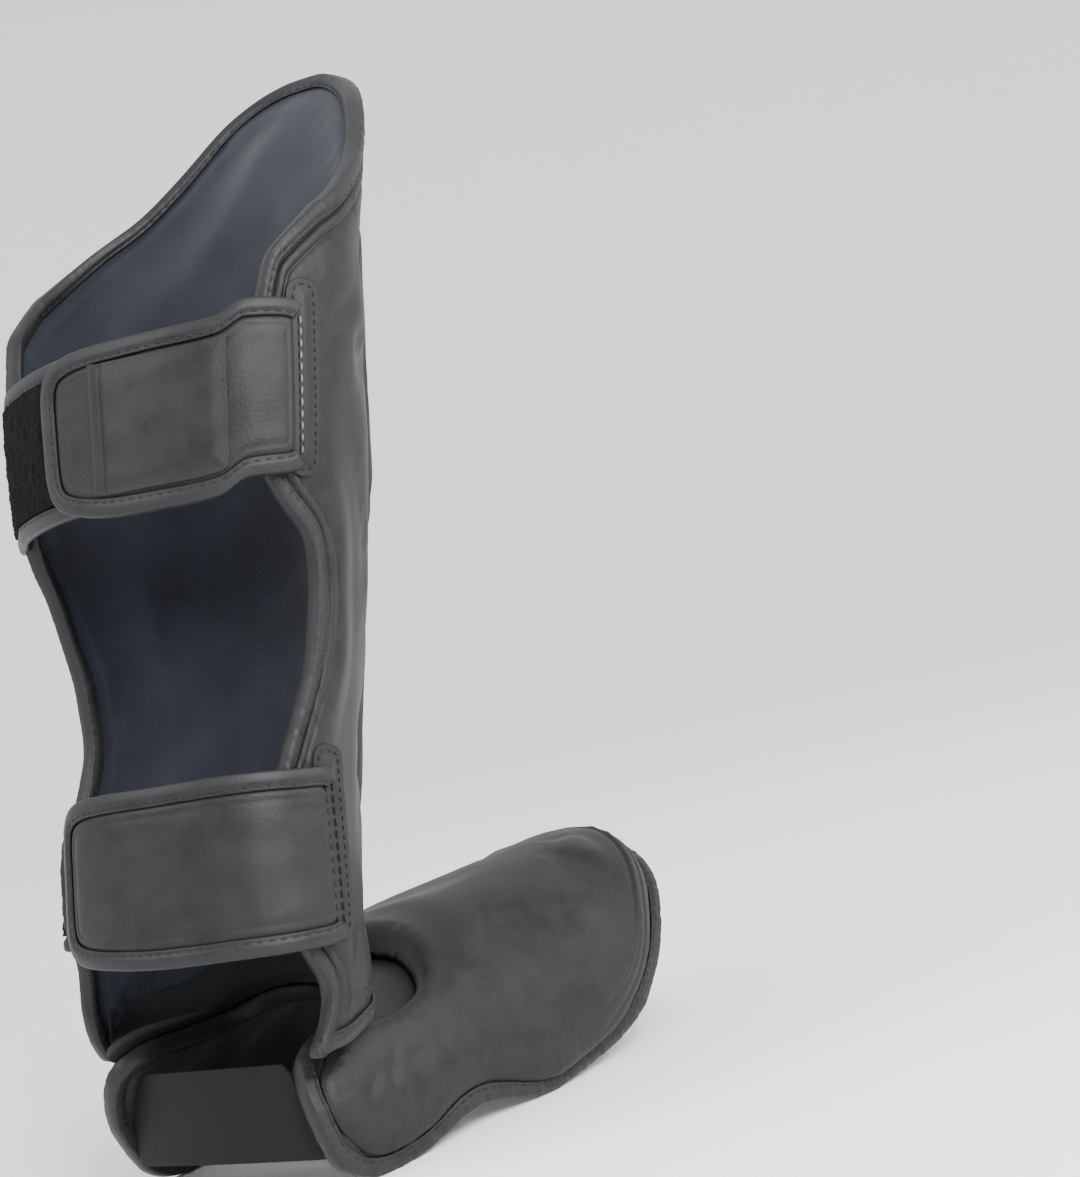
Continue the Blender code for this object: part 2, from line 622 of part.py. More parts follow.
def lean(points, angle):
    turn = radians(angle)
    y = points[:, 1] * np.cos(turn) - points[:, 2] * np.sin(turn)
    z = points[:, 1] * np.sin(turn) + points[:, 2] * np.cos(turn)
    return np.stack([points[:, 0], y, z], -1)


def step_down(angle, points):
    """How much lower the toe corners lie than the heel tips at a lean angle."""
    heel = points[:, 1] > points[:, 1].max() - heel_share * instep_length
    moved = lean(points, angle)
    return moved[heel, 2].min() - moved[~heel, 2].min()


sole = next(points for name, points, faces in pieces if name == "instep_binding")
low_angle, high_angle = 0.0, 30.0
for _ in range(40):
    lean_angle = 0.5 * (low_angle + high_angle)
    if step_down(lean_angle, sole) < 0:
        low_angle = lean_angle
    else:
        high_angle = lean_angle

everything = np.concatenate([lean(points, lean_angle) for name, points, faces in pieces])
low, high = everything.min(0), everything.max(0)
shift = np.array([0.5 * (low[0] + high[0]), 0.5 * (low[1] + high[1]), low[2] + floor_press])

# Surface colour, roughness and metallic value of each piece.
leather = (0.062, 0.062, 0.066, 0.48, 0.0)
trim = (0.07, 0.07, 0.074, 0.45, 0.0)
cloth = (0.03, 0.034, 0.045, 0.9, 0.0)
loop = (0.012, 0.012, 0.013, 1.0, 0.0)
stretch = (0.035, 0.035, 0.037, 0.85, 0.0)


def finish_of(name):
    if "lining" in name or "gusset" in name:
        return cloth
    if "loop" in name:
        return loop
    if "elastic" in name:
        return stretch
    if "binding" in name:
        return trim
    return leather


for item in list(bpy.data.objects):
    bpy.data.objects.remove(item, do_unlink=True)
guard = bpy.data.objects.new("shin_guard", None)
bpy.context.scene.collection.objects.link(guard)

for name, points, faces in pieces:
    placed = lean(points, lean_angle) - shift
    placed[:, 2] = np.maximum(placed[:, 2], 0.0)
    mesh = bpy.data.meshes.new(name)
    mesh.from_pydata(placed.tolist(), [], faces)
    work = bmesh.new()
    work.from_mesh(mesh)
    bmesh.ops.remove_doubles(work, verts=work.verts, dist=1e-7)
    bmesh.ops.triangulate(work, faces=[face for face in work.faces if len(face.verts) > 4])
    bmesh.ops.recalc_face_normals(work, faces=work.faces)
    work.to_mesh(mesh)
    work.free()
    red, green, blue, roughness, metallic = finish_of(name)
    material = bpy.data.materials.new(name)
    material.use_nodes = True
    principled = material.node_tree.nodes["Principled BSDF"]
    principled.inputs["Base Color"].default_value = (red, green, blue, 1.0)
    principled.inputs["Roughness"].default_value = roughness
    principled.inputs["Metallic"].default_value = metallic
    mesh.materials.append(material)
    mesh.shade_smooth()
    mesh.set_sharp_from_angle(angle=radians(45))
    piece = bpy.data.objects.new(name, mesh)
    piece.parent = guard
    bpy.context.scene.collection.objects.link(piece)
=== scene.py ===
import bpy
import math
import numpy as np
from mathutils import Matrix, Vector


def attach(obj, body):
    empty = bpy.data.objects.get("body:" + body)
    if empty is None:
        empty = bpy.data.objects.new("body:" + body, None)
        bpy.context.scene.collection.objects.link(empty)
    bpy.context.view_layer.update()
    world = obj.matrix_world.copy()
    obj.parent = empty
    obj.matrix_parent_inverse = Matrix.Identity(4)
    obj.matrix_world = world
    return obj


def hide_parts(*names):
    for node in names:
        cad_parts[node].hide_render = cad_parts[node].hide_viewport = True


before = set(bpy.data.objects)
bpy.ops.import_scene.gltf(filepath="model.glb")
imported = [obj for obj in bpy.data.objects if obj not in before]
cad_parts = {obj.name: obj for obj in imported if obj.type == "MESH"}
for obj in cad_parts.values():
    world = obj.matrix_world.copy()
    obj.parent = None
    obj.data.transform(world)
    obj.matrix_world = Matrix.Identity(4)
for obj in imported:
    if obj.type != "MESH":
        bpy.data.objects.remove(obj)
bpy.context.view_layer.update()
dice = np.random.default_rng(11)

# The guard is shaped upright, then leans forward onto the floor: degrees and metres.
stance = {"lean": 13.6535, "shift": (0.001838, -0.103993, -0.009199)}
shin = {"height": 0.370, "base": 0.050, "half": 0.080, "front": 0.057, "back": 0.050, "power": 2.15}
instep = {"length": 0.246, "half": 0.062, "height": 0.059, "pitch": 16.5, "power": 2.3,
          "side": 0.0045, "top": 0.013, "reach": 0.057}
gap = 0.0003
dense, one = np.linspace(0.0, 1.0, 400), np.ones(2)


# Monotone cubic through the points (xs, ys): slopes are harmonic means of the two neighbours'.
def smooth(xs, ys, at):
    xs, ys = np.asarray(xs, float), np.asarray(ys, float)
    step = np.diff(xs)
    slope = np.diff(ys) / step
    tangent = np.zeros_like(ys)
    tangent[0], tangent[-1] = slope[0], slope[-1]
    before, after = slope[:-1], slope[1:]
    keep = before * after > 0
    wide, narrow = 2 * step[1:] + step[:-1], step[1:] + 2 * step[:-1]
    mean = wide / np.where(keep, before, 1.0) + narrow / np.where(keep, after, 1.0)
    tangent[1:-1] = np.where(keep, (wide + narrow) / mean, 0.0)
    at = np.clip(np.asarray(at, float), xs[0], xs[-1])
    row = np.clip(np.searchsorted(xs, at) - 1, 0, len(step) - 1)
    t = (at - xs[row]) / step[row]
    rise = (2 * t**3 - 3 * t**2 + 1) * ys[row] + (3 * t**2 - 2 * t**3) * ys[row + 1]
    return rise + step[row] * ((t**3 - 2 * t**2 + t) * tangent[row] + (t**3 - t**2) * tangent[row + 1])


# Columns of a table read smoothly against its first one.
def read(table, at, *keys):
    return [smooth(next(iter(table.values())), table[key], at) for key in keys]


# 3t^2 - 2t^3 with t held between 0 and 1.
def softStep(value):
    t = np.clip(value, 0.0, 1.0)
    return t * t * (3 - 2 * t)


# exp of minus the square of value over width.
def bell(value, width):
    return np.exp(-((value / width) ** 2))


# Half ellipse: the root of 1 minus the square of value over width, and 0 beyond it.
def arch(value, width):
    return np.sqrt(np.clip(1 - (value / width) ** 2, 0.0, 1.0))


# Turns the upright points about X by the lean and drops them on the floor.
def stand(points):
    turn = math.radians(stance["lean"])
    c, s = math.cos(turn), math.sin(turn)
    x, y, z = points[..., 0], points[..., 1], points[..., 2]
    return np.stack([x, y * c - z * s, y * s + z * c], -1) - np.array(stance["shift"])


# Superellipse point: half times |sin|^(2/power) across, front or back times |cos|^(2/power) along.
def rounded(angle, half, front, back, power):
    s, c = np.sin(angle), np.cos(angle)
    return half * np.sign(s) * np.abs(s) ** (2 / power), \
        np.where(c > 0, front, back) * np.sign(c) * np.abs(c) ** (2 / power)


legTable = {
    "level": (-0.03, 0.03, 0.08, 0.15, 0.23, 0.34, 0.405, 0.465, 0.54, 0.627, 0.708, 0.797, 0.905, 1.0),
    "left": (0.785, 0.805, 0.81, 0.80, 0.78, 0.832, 0.866, 0.89, 0.925, 0.95, 0.963, 0.94, 0.885, 0.75),
    "right": (0.80, 0.822, 0.828, 0.81, 0.79, 0.80, 0.85, 0.90, 0.968, 1.0, 1.013, 0.967, 0.85, 0.70),
    "front": (0.79, 0.80, 0.82, 0.865, 0.935, 0.98, 1.0, 1.01, 1.01, 1.0, 1.0, 1.05, 1.22, 1.46),
    "back": (0.72, 0.73, 0.74, 0.75, 0.77, 0.79, 0.81, 0.83, 0.85, 0.87, 0.87, 0.87, 0.87, 0.87),
}


# Rounded section at a level, its half width and depths from the table less the inset.
def legPoint(angle, level, inset):
    turn = np.radians(angle)
    left, right, front, back = read(legTable, level, "left", "right", "front", "back")
    half = shin["half"] * np.where(np.sin(turn) < 0, left, right) - inset
    across, along = rounded(turn, half, shin["front"] * front - inset, shin["back"] * back - inset, shin["power"])
    return stand(np.stack([across, -along, shin["base"] + shin["height"] * level + 0 * across], -1))


footTable = {
    "run": (-0.02, 0.04, 0.16, 0.325, 0.49, 0.81, 1.0),
    "half": (0.88, 0.90, 0.935, 0.98, 1.0, 1.0, 0.94),
    "side": (0.75, 0.78, 0.85, 0.95, 1.0, 1.0, 1.0),
    "top": (0.4, 0.45, 0.65, 1.0, 1.0, 1.0, 1.0),
}


# Rounded instep section: share of the padding off the envelope, then depth further inside.
def footPoint(angle, run, share, depth):
    half, side, top = read(footTable, run, "half", "side", "top")
    half = instep["half"] * half - instep["side"] * side * share - depth
    tall = instep["height"] - instep["top"] * top * share - depth
    across, rise = rounded(np.radians(angle), half, tall, tall, instep["power"])
    pitch, away = math.radians(instep["pitch"]), instep["length"] * run
    y = instep["reach"] - shin["front"] - away * math.cos(pitch) + rise * math.sin(pitch)
    return stand(np.stack([across, y, away * math.sin(pitch) + rise * math.cos(pitch)], -1))


# Straight-line reading of rows of points, which stand at the given places.
def readLine(at, places, rows):
    return np.stack([np.interp(at, places, row) for row in rows.T], -1)


# Closed outline in even steps, its corners rounded by a circular Gaussian filter of that radius.
def softLoop(sides, scale, step, radius):
    raw = np.concatenate([side[:-1] for side in sides])
    steps = np.linalg.norm((np.roll(raw, -1, 0) - raw) * scale, axis=1)
    length = np.concatenate([[0.0], np.cumsum(steps)])
    count = int(round(length[-1] / step))
    loop = readLine(np.arange(count) * length[-1] / count, length, np.concatenate([raw, raw[:1]]))
    fade = np.exp(-2 * (np.pi * np.fft.fftfreq(count) * radius / step) ** 2)[:, None]
    loop = np.fft.ifft(np.fft.fft(loop, axis=0) * fade, axis=0).real
    ends = np.cumsum([0] + [len(side) - 1 for side in sides])[:len(sides)]
    return loop, length[ends] / length[-1] * count


# Unit normals that point into the outline, in its own units per metre.
def inward(loop, scale):
    along = (np.roll(loop, -1, 0) - np.roll(loop, 1, 0)) * scale
    along /= np.linalg.norm(along, axis=1)[:, None]
    return np.stack([-along[:, 1], along[:, 0]], -1) / scale


# Net inside the outline: each point is the mean of its neighbours, weighed by the squared spacing across.
def netInside(loop, corners, scale, count=41, rounds=500):
    size = len(loop)
    marks = [*corners, corners[0] + size]
    ring = np.concatenate([loop, loop, loop[:1]])
    sides = [readLine(np.linspace(first, last, count), np.arange(len(ring)), ring) * scale
             for first, last in zip(marks[:-1], marks[1:])]
    low, right, high, left = sides[0], sides[1], sides[2][::-1], sides[3][::-1]
    u, v = np.linspace(0, 1, count)[None, :, None], np.linspace(0, 1, count)[:, None, None]
    net = (1 - u) * left[:, None] + u * right[:, None] + (1 - v) * low[None] + v * high[None]
    net -= (1 - v) * ((1 - u) * low[0] + u * low[-1]) + v * ((1 - u) * high[0] + u * high[-1])
    for _ in range(rounds):
        across, up = net[1:-1, 2:] - net[1:-1, :-2], net[2:, 1:-1] - net[:-2, 1:-1]
        wide, tall = (across**2).sum(-1)[..., None], (up**2).sum(-1)[..., None]
        twist = net[2:, 2:] - net[2:, :-2] - net[:-2, 2:] + net[:-2, :-2]
        beside, above = net[1:-1, 2:] + net[1:-1, :-2], net[2:, 1:-1] + net[:-2, 1:-1]
        slant = (across * up).sum(-1)[..., None]
        net[1:-1, 1:-1] = (tall * beside + wide * above - 0.5 * slant * twist) / (2 * (tall + wide))
    return net / scale


# Rows of Catmull-Rom weights that read a line of count values at shares of its length.
def cubicWeights(at, count):
    at = np.asarray(at) * (count - 1)
    cell = np.clip(np.floor(at).astype(int), 0, count - 2)
    t = at - cell
    weight = np.stack([-t**3 + 2 * t**2 - t, 3 * t**3 - 5 * t**2 + 2, -3 * t**3 + 4 * t**2 + t, t**3 - t**2], 1) / 2
    rows = np.zeros((len(at), count + 2))
    rows[np.arange(len(at))[:, None], cell[:, None] + np.arange(4)] = weight
    rows[:, 1] += 2 * rows[:, 0]
    rows[:, 2] -= rows[:, 0]
    rows[:, -2] += 2 * rows[:, -1]
    rows[:, -3] -= rows[:, -1]
    return rows[:, 1:-1]


# Shares from 0 to 1, closer together at the ends: t - crowd sin(2 pi t) / (2 pi).
def crowded(count, crowd):
    t = np.linspace(0, 1, count)
    return t - crowd * np.sin(2 * np.pi * t) / (2 * np.pi)


# Reads the net at rows by columns shares, crowded at its border.
def refine(net, rows, columns, crowd=0.65):
    up, across = cubicWeights(crowded(rows, crowd), len(net)), cubicWeights(crowded(columns, crowd), net.shape[1])
    return np.einsum("ri,ijk,cj->rck", up, net, across)


# Distance in metres from each grid point to the nearest outline point, and that point's number.
def fromEdge(grid, loop, scale):
    flat, rim = grid.reshape(-1, 2) * scale, loop * scale
    best, which = np.zeros(len(flat)), np.zeros(len(flat), int)
    for start in range(0, len(flat), 4000):
        part = flat[start:start + 4000]
        far = ((part**2).sum(1)[:, None] + (rim**2).sum(1)[None, :] - 2 * part @ rim.T)
        which[start:start + 4000] = far.argmin(1)
        best[start:start + 4000] = np.sqrt(np.maximum(far.min(1), 0))
    return best.reshape(grid.shape[:2]), which.reshape(grid.shape[:2])


# Closed line of smooth noise: random waves of about that length, scaled to a spread of 1.
def ripple(count, length, step):
    turns = max(2, int(count * step / length))
    t = np.arange(count) / count * 2 * np.pi
    waves = np.arange(max(1, turns // 2), turns * 2)
    phase, size = dice.uniform(0, 2 * np.pi, len(waves)), dice.uniform(0.3, 1.0, len(waves))
    line = (size[:, None] * np.sin(waves[:, None] * t + phase[:, None])).sum(0)
    return line / line.std()


# Sum of 14 sine waves in random directions with wavelengths about the length, spread 1.
def unevenness(grid, scale, length):
    turn, phase = dice.uniform(0, np.pi, 14), dice.uniform(0, 2 * np.pi, 14)
    rate = 2 * np.pi / (length * dice.uniform(0.6, 1.7, 14))
    x, y = grid[..., 0] * scale[0], grid[..., 1] * scale[1]
    waves = np.sin((x[..., None] * np.cos(turn) + y[..., None] * np.sin(turn)) * rate + phase)
    return waves.sum(-1) / math.sqrt(7)


# Groove along a polyline with a low bank on each side, fading out at its ends.
def crease(grid, scale, line, width, depth):
    spots = np.asarray(line, float)
    t = np.linspace(0, len(spots) - 1, 60)
    fine = readLine(t, np.arange(len(spots)), spots) * scale
    near = np.linalg.norm(grid[..., None, :] * scale - fine, axis=-1)
    far, share = near.min(-1), near.argmin(-1) / 59
    return depth * (bell(far, width) - 0.45 * bell(far - 1.9 * width, width)) * arch(share - 0.5, 0.5)


def addObject(name, data):
    made = bpy.data.objects.new(name, data)
    bpy.context.scene.collection.objects.link(made)
    return made


def makePiece(name, points, faces, uv=None, wear=None):
    mesh = bpy.data.meshes.new(name)
    mesh.from_pydata(points.tolist(), [], faces)
    mesh.update()
    if uv is not None:
        corner = np.zeros(len(mesh.loops), np.int32)
        mesh.loops.foreach_get("vertex_index", corner)
        mesh.uv_layers.new(name="flat").data.foreach_set("uv", uv[corner].astype(np.float32).ravel())
    layer = mesh.attributes.new("wear", "FLOAT", "POINT")
    layer.data.foreach_set("value", (np.zeros(len(points)) if wear is None else wear).astype(np.float32))
    mesh.shade_smooth()
    return addObject(name, mesh)


# Quads between neighbouring rows and columns of a grid.
def gridFaces(rows, columns, base=0, flip=False):
    i, j = np.meshgrid(np.arange(rows - 1), np.arange(columns - 1), indexing="ij")
    a = (base + i * columns + j).ravel()
    quads = np.stack([a, a + 1, a + columns + 1, a + columns], 1)
    return quads[:, ::-1] if flip else quads


# Closed wall: an outer grid, an inner grid and quads round their borders.
def wallPiece(name, outer, inner, flat, wear=None):
    rows, columns = outer.shape[:2]
    top, side = np.arange(columns), np.arange(rows) * columns
    ring = np.concatenate([top[:-1], side[:-1] + columns - 1, (top + side[-1])[:0:-1], side[:0:-1]])
    after, skip = np.roll(ring, -1), rows * columns
    rim = np.stack([ring, ring + skip, after + skip, after], 1)
    faces = np.concatenate([gridFaces(rows, columns), gridFaces(rows, columns, skip, True), rim])
    points = np.concatenate([outer.reshape(-1, 3), inner.reshape(-1, 3)])
    edge = None if wear is None else np.concatenate([wear.ravel(), wear.ravel()])
    return makePiece(name, points, faces.tolist(), np.concatenate([flat.reshape(-1, 2)] * 2), edge)


# Closed tube through profile rings, joined end to end or capped.
def sweptPiece(name, rings, closed, uv, wear=None):
    count, sides = rings.shape[:2]
    here = np.arange(count if closed else count - 1)[:, None]
    side = np.arange(sides)[None, :]
    ahead, after = (here + 1) % count, (side + 1) % sides
    quads = np.stack([here * sides + side, ahead * sides + side, ahead * sides + after, here * sides + after], -1)
    faces = quads.reshape(-1, 4).tolist()
    if not closed:
        faces += [list(range(sides)), list(range((count - 1) * sides, count * sides))[::-1]]
    return makePiece(name, rings.reshape(-1, 3), faces, uv.reshape(-1, 2), wear)


# Capsules of thread in even steps along a path: rings of six points at five stations each.
def stitchRow(place, path, lift, thread, closed=False):
    base, above = place(path, -lift), place(path, -lift - 0.001)
    if closed:
        base, above = np.concatenate([base, base[:1]]), np.concatenate([above, above[:1]])
    length = np.concatenate([[0.0], np.cumsum(np.linalg.norm(np.diff(base, axis=0), axis=1))])
    count = max(1, int(length[-1] / thread["pitch"]))
    middle = (np.arange(count) + 0.5) * length[-1] / count
    start, end = (readLine(middle + side * thread["long"] / 2, length, base) for side in (-1, 1))
    along = (end - start) / np.linalg.norm(end - start, axis=1)[:, None]
    up = readLine(middle, length, above) - readLine(middle, length, base)
    up -= (up * along).sum(1)[:, None] * along
    up /= np.linalg.norm(up, axis=1)[:, None]
    across = np.cross(along, up)
    turn = np.arange(6) / 6 * 2 * np.pi
    round6 = across[:, None] * np.cos(turn)[None, :, None] + up[:, None] * np.sin(turn)[None, :, None]
    shares, sizes, sink = (-0.5, -0.4, 0.0, 0.4, 0.5), (0.12, 0.75, 1.0, 0.75, 0.12), (-1.1, -0.4, 0.1, -0.4, -1.1)
    centre = 0.5 * (start + end)
    rings = [centre[:, None] + along[:, None] * s * thread["long"]
             + (round6 * w + up[:, None] * d) * thread["thick"] for s, w, d in zip(shares, sizes, sink)]
    each, station, corner = np.arange(count)[:, None, None, None] * 30, np.arange(4)[:, None, None] * 6, np.arange(6)
    after = (corner + 1) % 6
    quads = each + station + np.stack([corner, after, after + 6, corner + 6], -1)
    return np.stack(rings, 1).reshape(-1, 3), quads.reshape(-1, 4)


# One mesh of all the rows of stitches that belong to a piece.
def stitchPiece(name, rows):
    bases = np.cumsum([0] + [len(spots) for spots, _ in rows])
    faces = np.concatenate([quads + base for (_, quads), base in zip(rows, bases)])
    return makePiece(name, np.concatenate([spots for spots, _ in rows]), faces.tolist())


# Binding section as (distance from the rim, depth): a soft roll over the rim, then a thin inner face.
def rimProfile(reach, thick, wall, lower=True):
    t = np.linspace(0, 1, 9)
    over = reach * (1 - t)
    crown = thick * (0.25 + 0.75 * arch(t - 0.55, 0.62))
    crown -= 0.35 * thick * bell(over - 0.72 * reach, 0.1 * reach)
    outer = np.stack([over, -gap - crown], -1)
    bend = np.linspace(0, np.pi, 7)[1:-1]
    deep = wall + 2 * gap
    around = np.stack([-thick * np.sin(bend), -gap - 0.8 * thick * np.cos(bend)], -1)
    around[:, 1] = np.where(bend > np.pi / 2, deep - gap + 0.8 * thick * -np.cos(bend), around[:, 1])
    around[len(bend) // 2, 1] = 0.5 * wall
    if lower:
        under = np.stack([over[::-1], wall + gap + crown[::-1]], -1)
        inner = np.array([[reach, wall + gap], [-gap, wall + gap], [-gap, -gap], [reach, -gap]])
    else:
        under = np.array([[-thick, wall]])
        inner = np.array([[-gap, wall], [-gap, -gap], [reach, -gap]])
        around = around[:3]
    return np.concatenate([outer, around, under, inner])


# Profile swept round an outline: the rim moved inwards by each distance, at its depth.
def rimPiece(name, place, loop, scale, profile, closed=True, swell=None):
    into = inward(loop, scale)
    if not closed:
        into[0], into[-1] = into[1], into[-2]
    path = loop[:, None] + into[:, None] * profile[None, :, 0, None]
    depth = np.broadcast_to(profile[None, :, 1], path.shape[:2]).copy()
    if swell is not None:
        proud = (profile[:, 1] < -gap * 1.5) | (profile[:, 1] > profile[:, 1].max() - 0.0008)
        side = np.where(profile[:, 1] < 0, -1.0, 1.0) * proud
        depth = depth + swell[:, None] * side[None, :]
    rings = place(path, depth)
    run = np.arange(len(loop)) / max(1, len(loop)) * np.linalg.norm(np.diff(loop * scale, axis=0), axis=1).sum()
    uv = np.stack(np.broadcast_arrays(run[:, None], profile[None, :, 0]), -1)
    wear = np.broadcast_to(softStep(1 - np.abs(profile[:, 0]) / 0.003)[None, :], path.shape[:2]).ravel()
    return sweptPiece(name, rings, closed, uv, wear)


fabric = {"vertex_group_mass": "pinned", "quality": 6, "mass": 0.25, "tension_stiffness": 30,
          "compression_stiffness": 30, "bending_stiffness": 1.5, "use_pressure": True,
          "uniform_pressure_force": 0.6}


# Cloth run over 20 steps on a coarse skin with its border pinned; returns how far each point moved.
def clothShift(points, shrink, cap=0.0012):
    rows, columns = points.shape[:2]
    skin = makePiece("clothRun", points.reshape(-1, 3), gridFaces(rows, columns).tolist())
    pinned = np.ones((rows, columns), bool)
    pinned[1:-1, 1:-1] = False
    group = skin.vertex_groups.new(name="pinned")
    group.add(np.flatnonzero(pinned.ravel()).tolist(), 1.0, "ADD")
    cloth = skin.modifiers.new("cloth", "CLOTH")
    for key, value in {**fabric, "shrink_min": -shrink}.items():
        setattr(cloth.settings, key, value)
    cloth.settings.effector_weights.gravity = 0
    cloth.point_cache.frame_start, cloth.point_cache.frame_end = 1, 20
    scene = bpy.context.scene
    for step in range(1, 21):
        scene.frame_set(step)
    ready = skin.evaluated_get(bpy.context.evaluated_depsgraph_get())
    moved = np.zeros(rows * columns * 3)
    ready.data.vertices.foreach_get("co", moved)
    scene.frame_set(1)
    bpy.data.objects.remove(skin, do_unlink=True)
    shift = moved.reshape(points.shape) - points
    far = np.linalg.norm(shift, axis=-1, keepdims=True)
    return shift * np.minimum(1.0, cap / np.maximum(far, 1e-9))


# Finish and body; what stands for a node hides the node of that name.
def dress(piece, finish, slotName, stands=False):
    piece.data.materials.append(finishes[finish])
    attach(piece, "root")
    if stands:
        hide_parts(slotName)


def dressPadded(piece, finish, slotName):
    dress(piece, finish, slotName, True)


# A cloth sheet, dressed as what stands for its node; the areas of its faces are read and not used.
def dressSheet(piece, finish, slotName):
    dress(piece, finish, slotName, True)
    area = np.zeros(len(piece.data.polygons))
    piece.data.polygons.foreach_get("area", area)


print("forms ready")


# Empty shader group with its named inputs and outputs.
def newGroup(name, inputs, outputs):
    group = bpy.data.node_groups.new(name, "ShaderNodeTree")
    group.interface.new_socket(name="Vector", in_out="INPUT", socket_type="NodeSocketVector")
    for label, value in inputs.items():
        group.interface.new_socket(name=label, in_out="INPUT", socket_type="NodeSocketFloat").default_value = value
    for label in outputs:
        group.interface.new_socket(name=label, in_out="OUTPUT", socket_type="NodeSocketFloat")
    return group, group.nodes.new("NodeGroupInput").outputs, group.nodes.new("NodeGroupOutput")


# Gives a node its settings, its constants, and links as (input, output socket) pairs.
def fill(tree, node, links=(), **values):
    for key, value in values.items():
        if hasattr(node, key):
            setattr(node, key, value)
        else:
            node.inputs[key.replace("_", " ")].default_value = value
    for where, source in links:
        tree.links.new(source, node.inputs[where])
    return node


def addNode(tree, kind, links=(), **values):
    return fill(tree, tree.nodes.new("ShaderNode" + kind), links, **values)


def noise(tree, spot, scale, detail, output="Fac"):
    return addNode(tree, "TexNoise", [("Vector", spot)], Scale=scale, Detail=detail).outputs[output]


# A sum on sockets and numbers.
def reckon(tree, operation, *values):
    node = addNode(tree, "Math", operation=operation)
    for place, value in zip(node.inputs, values):
        if isinstance(value, float):
            place.default_value = value
        else:
            tree.links.new(value, place)
    return node.outputs[0]


# Minus the sum of pebble cells and fine noise is the height; broad noise less cell shade is the tone.
def grainGroup():
    group, given, out = newGroup("leatherGrain", {"Cells": 900.0, "Wear": 0.0}, ["Height", "Tone", "Polish"])
    spot = given["Vector"]
    warp = noise(group, spot, 160.0, 3.0, "Color")
    push = addNode(group, "VectorMath", [(0, warp)], operation="SCALE", Scale=0.0022).outputs[0]
    bent = addNode(group, "VectorMath", [(0, spot), (1, push)], operation="ADD").outputs[0]
    cells = addNode(group, "TexVoronoi", [("Vector", bent), ("Scale", given["Cells"])], feature="F1")
    far = cells.outputs["Distance"]
    fine, broad = noise(group, spot, 2600.0, 4.0), noise(group, spot, 22.0, 6.0)
    middle = noise(group, spot, 120.0, 5.0)
    height = reckon(group, "MULTIPLY_ADD", fine, 0.35, reckon(group, "POWER", far, 1.6))
    shade = reckon(group, "MULTIPLY_ADD", far, -0.25, reckon(group, "ADD", broad, middle))
    fill(group, out, [("Height", reckon(group, "MULTIPLY", height, -1.0)),
                      ("Tone", reckon(group, "MULTIPLY_ADD", given["Wear"], 0.3, shade)),
                      ("Polish", reckon(group, "MULTIPLY_ADD", middle, 0.7, broad))])
    return group


# Two crossed waves and fine noise make the knit's height; the waves and broad noise make its tone.
def clothGroup():
    group, given, out = newGroup("knitWeave", {"Across": 550.0, "Along": 420.0}, ["Height", "Tone"])
    spot = given["Vector"]
    first, second = (
        addNode(group, "TexWave", [("Vector", spot), ("Scale", given[label])], bands_direction=way,
                Distortion=1.2).outputs["Fac"] for label, way in (("Across", "X"), ("Along", "Y")))
    weave = reckon(group, "MULTIPLY", first, second)
    height = reckon(group, "MULTIPLY_ADD", noise(group, spot, 300.0, 3.0), 0.5, weave)
    tone = reckon(group, "MULTIPLY_ADD", weave, 0.45, noise(group, spot, 30.0, 5.0))
    fill(group, out, [("Height", height), ("Tone", tone)])
    return group


grain, knit = grainGroup(), clothGroup()


# Principled finish fed by a group: tone to colour, polish or tone to roughness, height to bump.
def material(name, dark, light, span, roughness, relief, specular, sheen):
    made = bpy.data.materials.new(name + "Finish")
    made.use_nodes = True
    tree = made.node_tree
    group = knit if name in ("lining", "dark", "elastic") else grain
    if group is grain:
        spot = addNode(tree, "TexCoord").outputs["Object"]
    else:
        spot = addNode(tree, "UVMap", uv_map="flat").outputs["UV"]
    effect = addNode(tree, "Group", node_tree=group, **scales.get(name, {}))
    tree.links.new(spot, effect.inputs["Vector"])
    if group is grain:
        worn = addNode(tree, "Attribute", attribute_name="wear").outputs["Fac"]
        tree.links.new(worn, effect.inputs["Wear"])
    ramp = addNode(tree, "ValToRGB", [("Fac", effect.outputs["Tone"])])
    for stop, place, tone in zip(ramp.color_ramp.elements, span, (dark, light)):
        stop.position, stop.color = place, (*tone, 1.0)
    polish = effect.outputs["Polish" if group is grain else "Tone"]
    rough = addNode(tree, "MapRange", [("Value", polish)], From_Min=0.5, From_Max=1.2,
                    To_Min=roughness[0], To_Max=roughness[1])
    bump = addNode(tree, "Bump", [("Height", effect.outputs["Height"])], Strength=relief[0], Distance=relief[1])
    links = [("Base Color", ramp.outputs[0]), ("Roughness", rough.outputs["Result"]), ("Normal", bump.outputs[0])]
    fill(tree, tree.nodes["Principled BSDF"], links, Specular_IOR_Level=specular, Sheen_Weight=sheen,
         Sheen_Roughness=0.5)
    return made


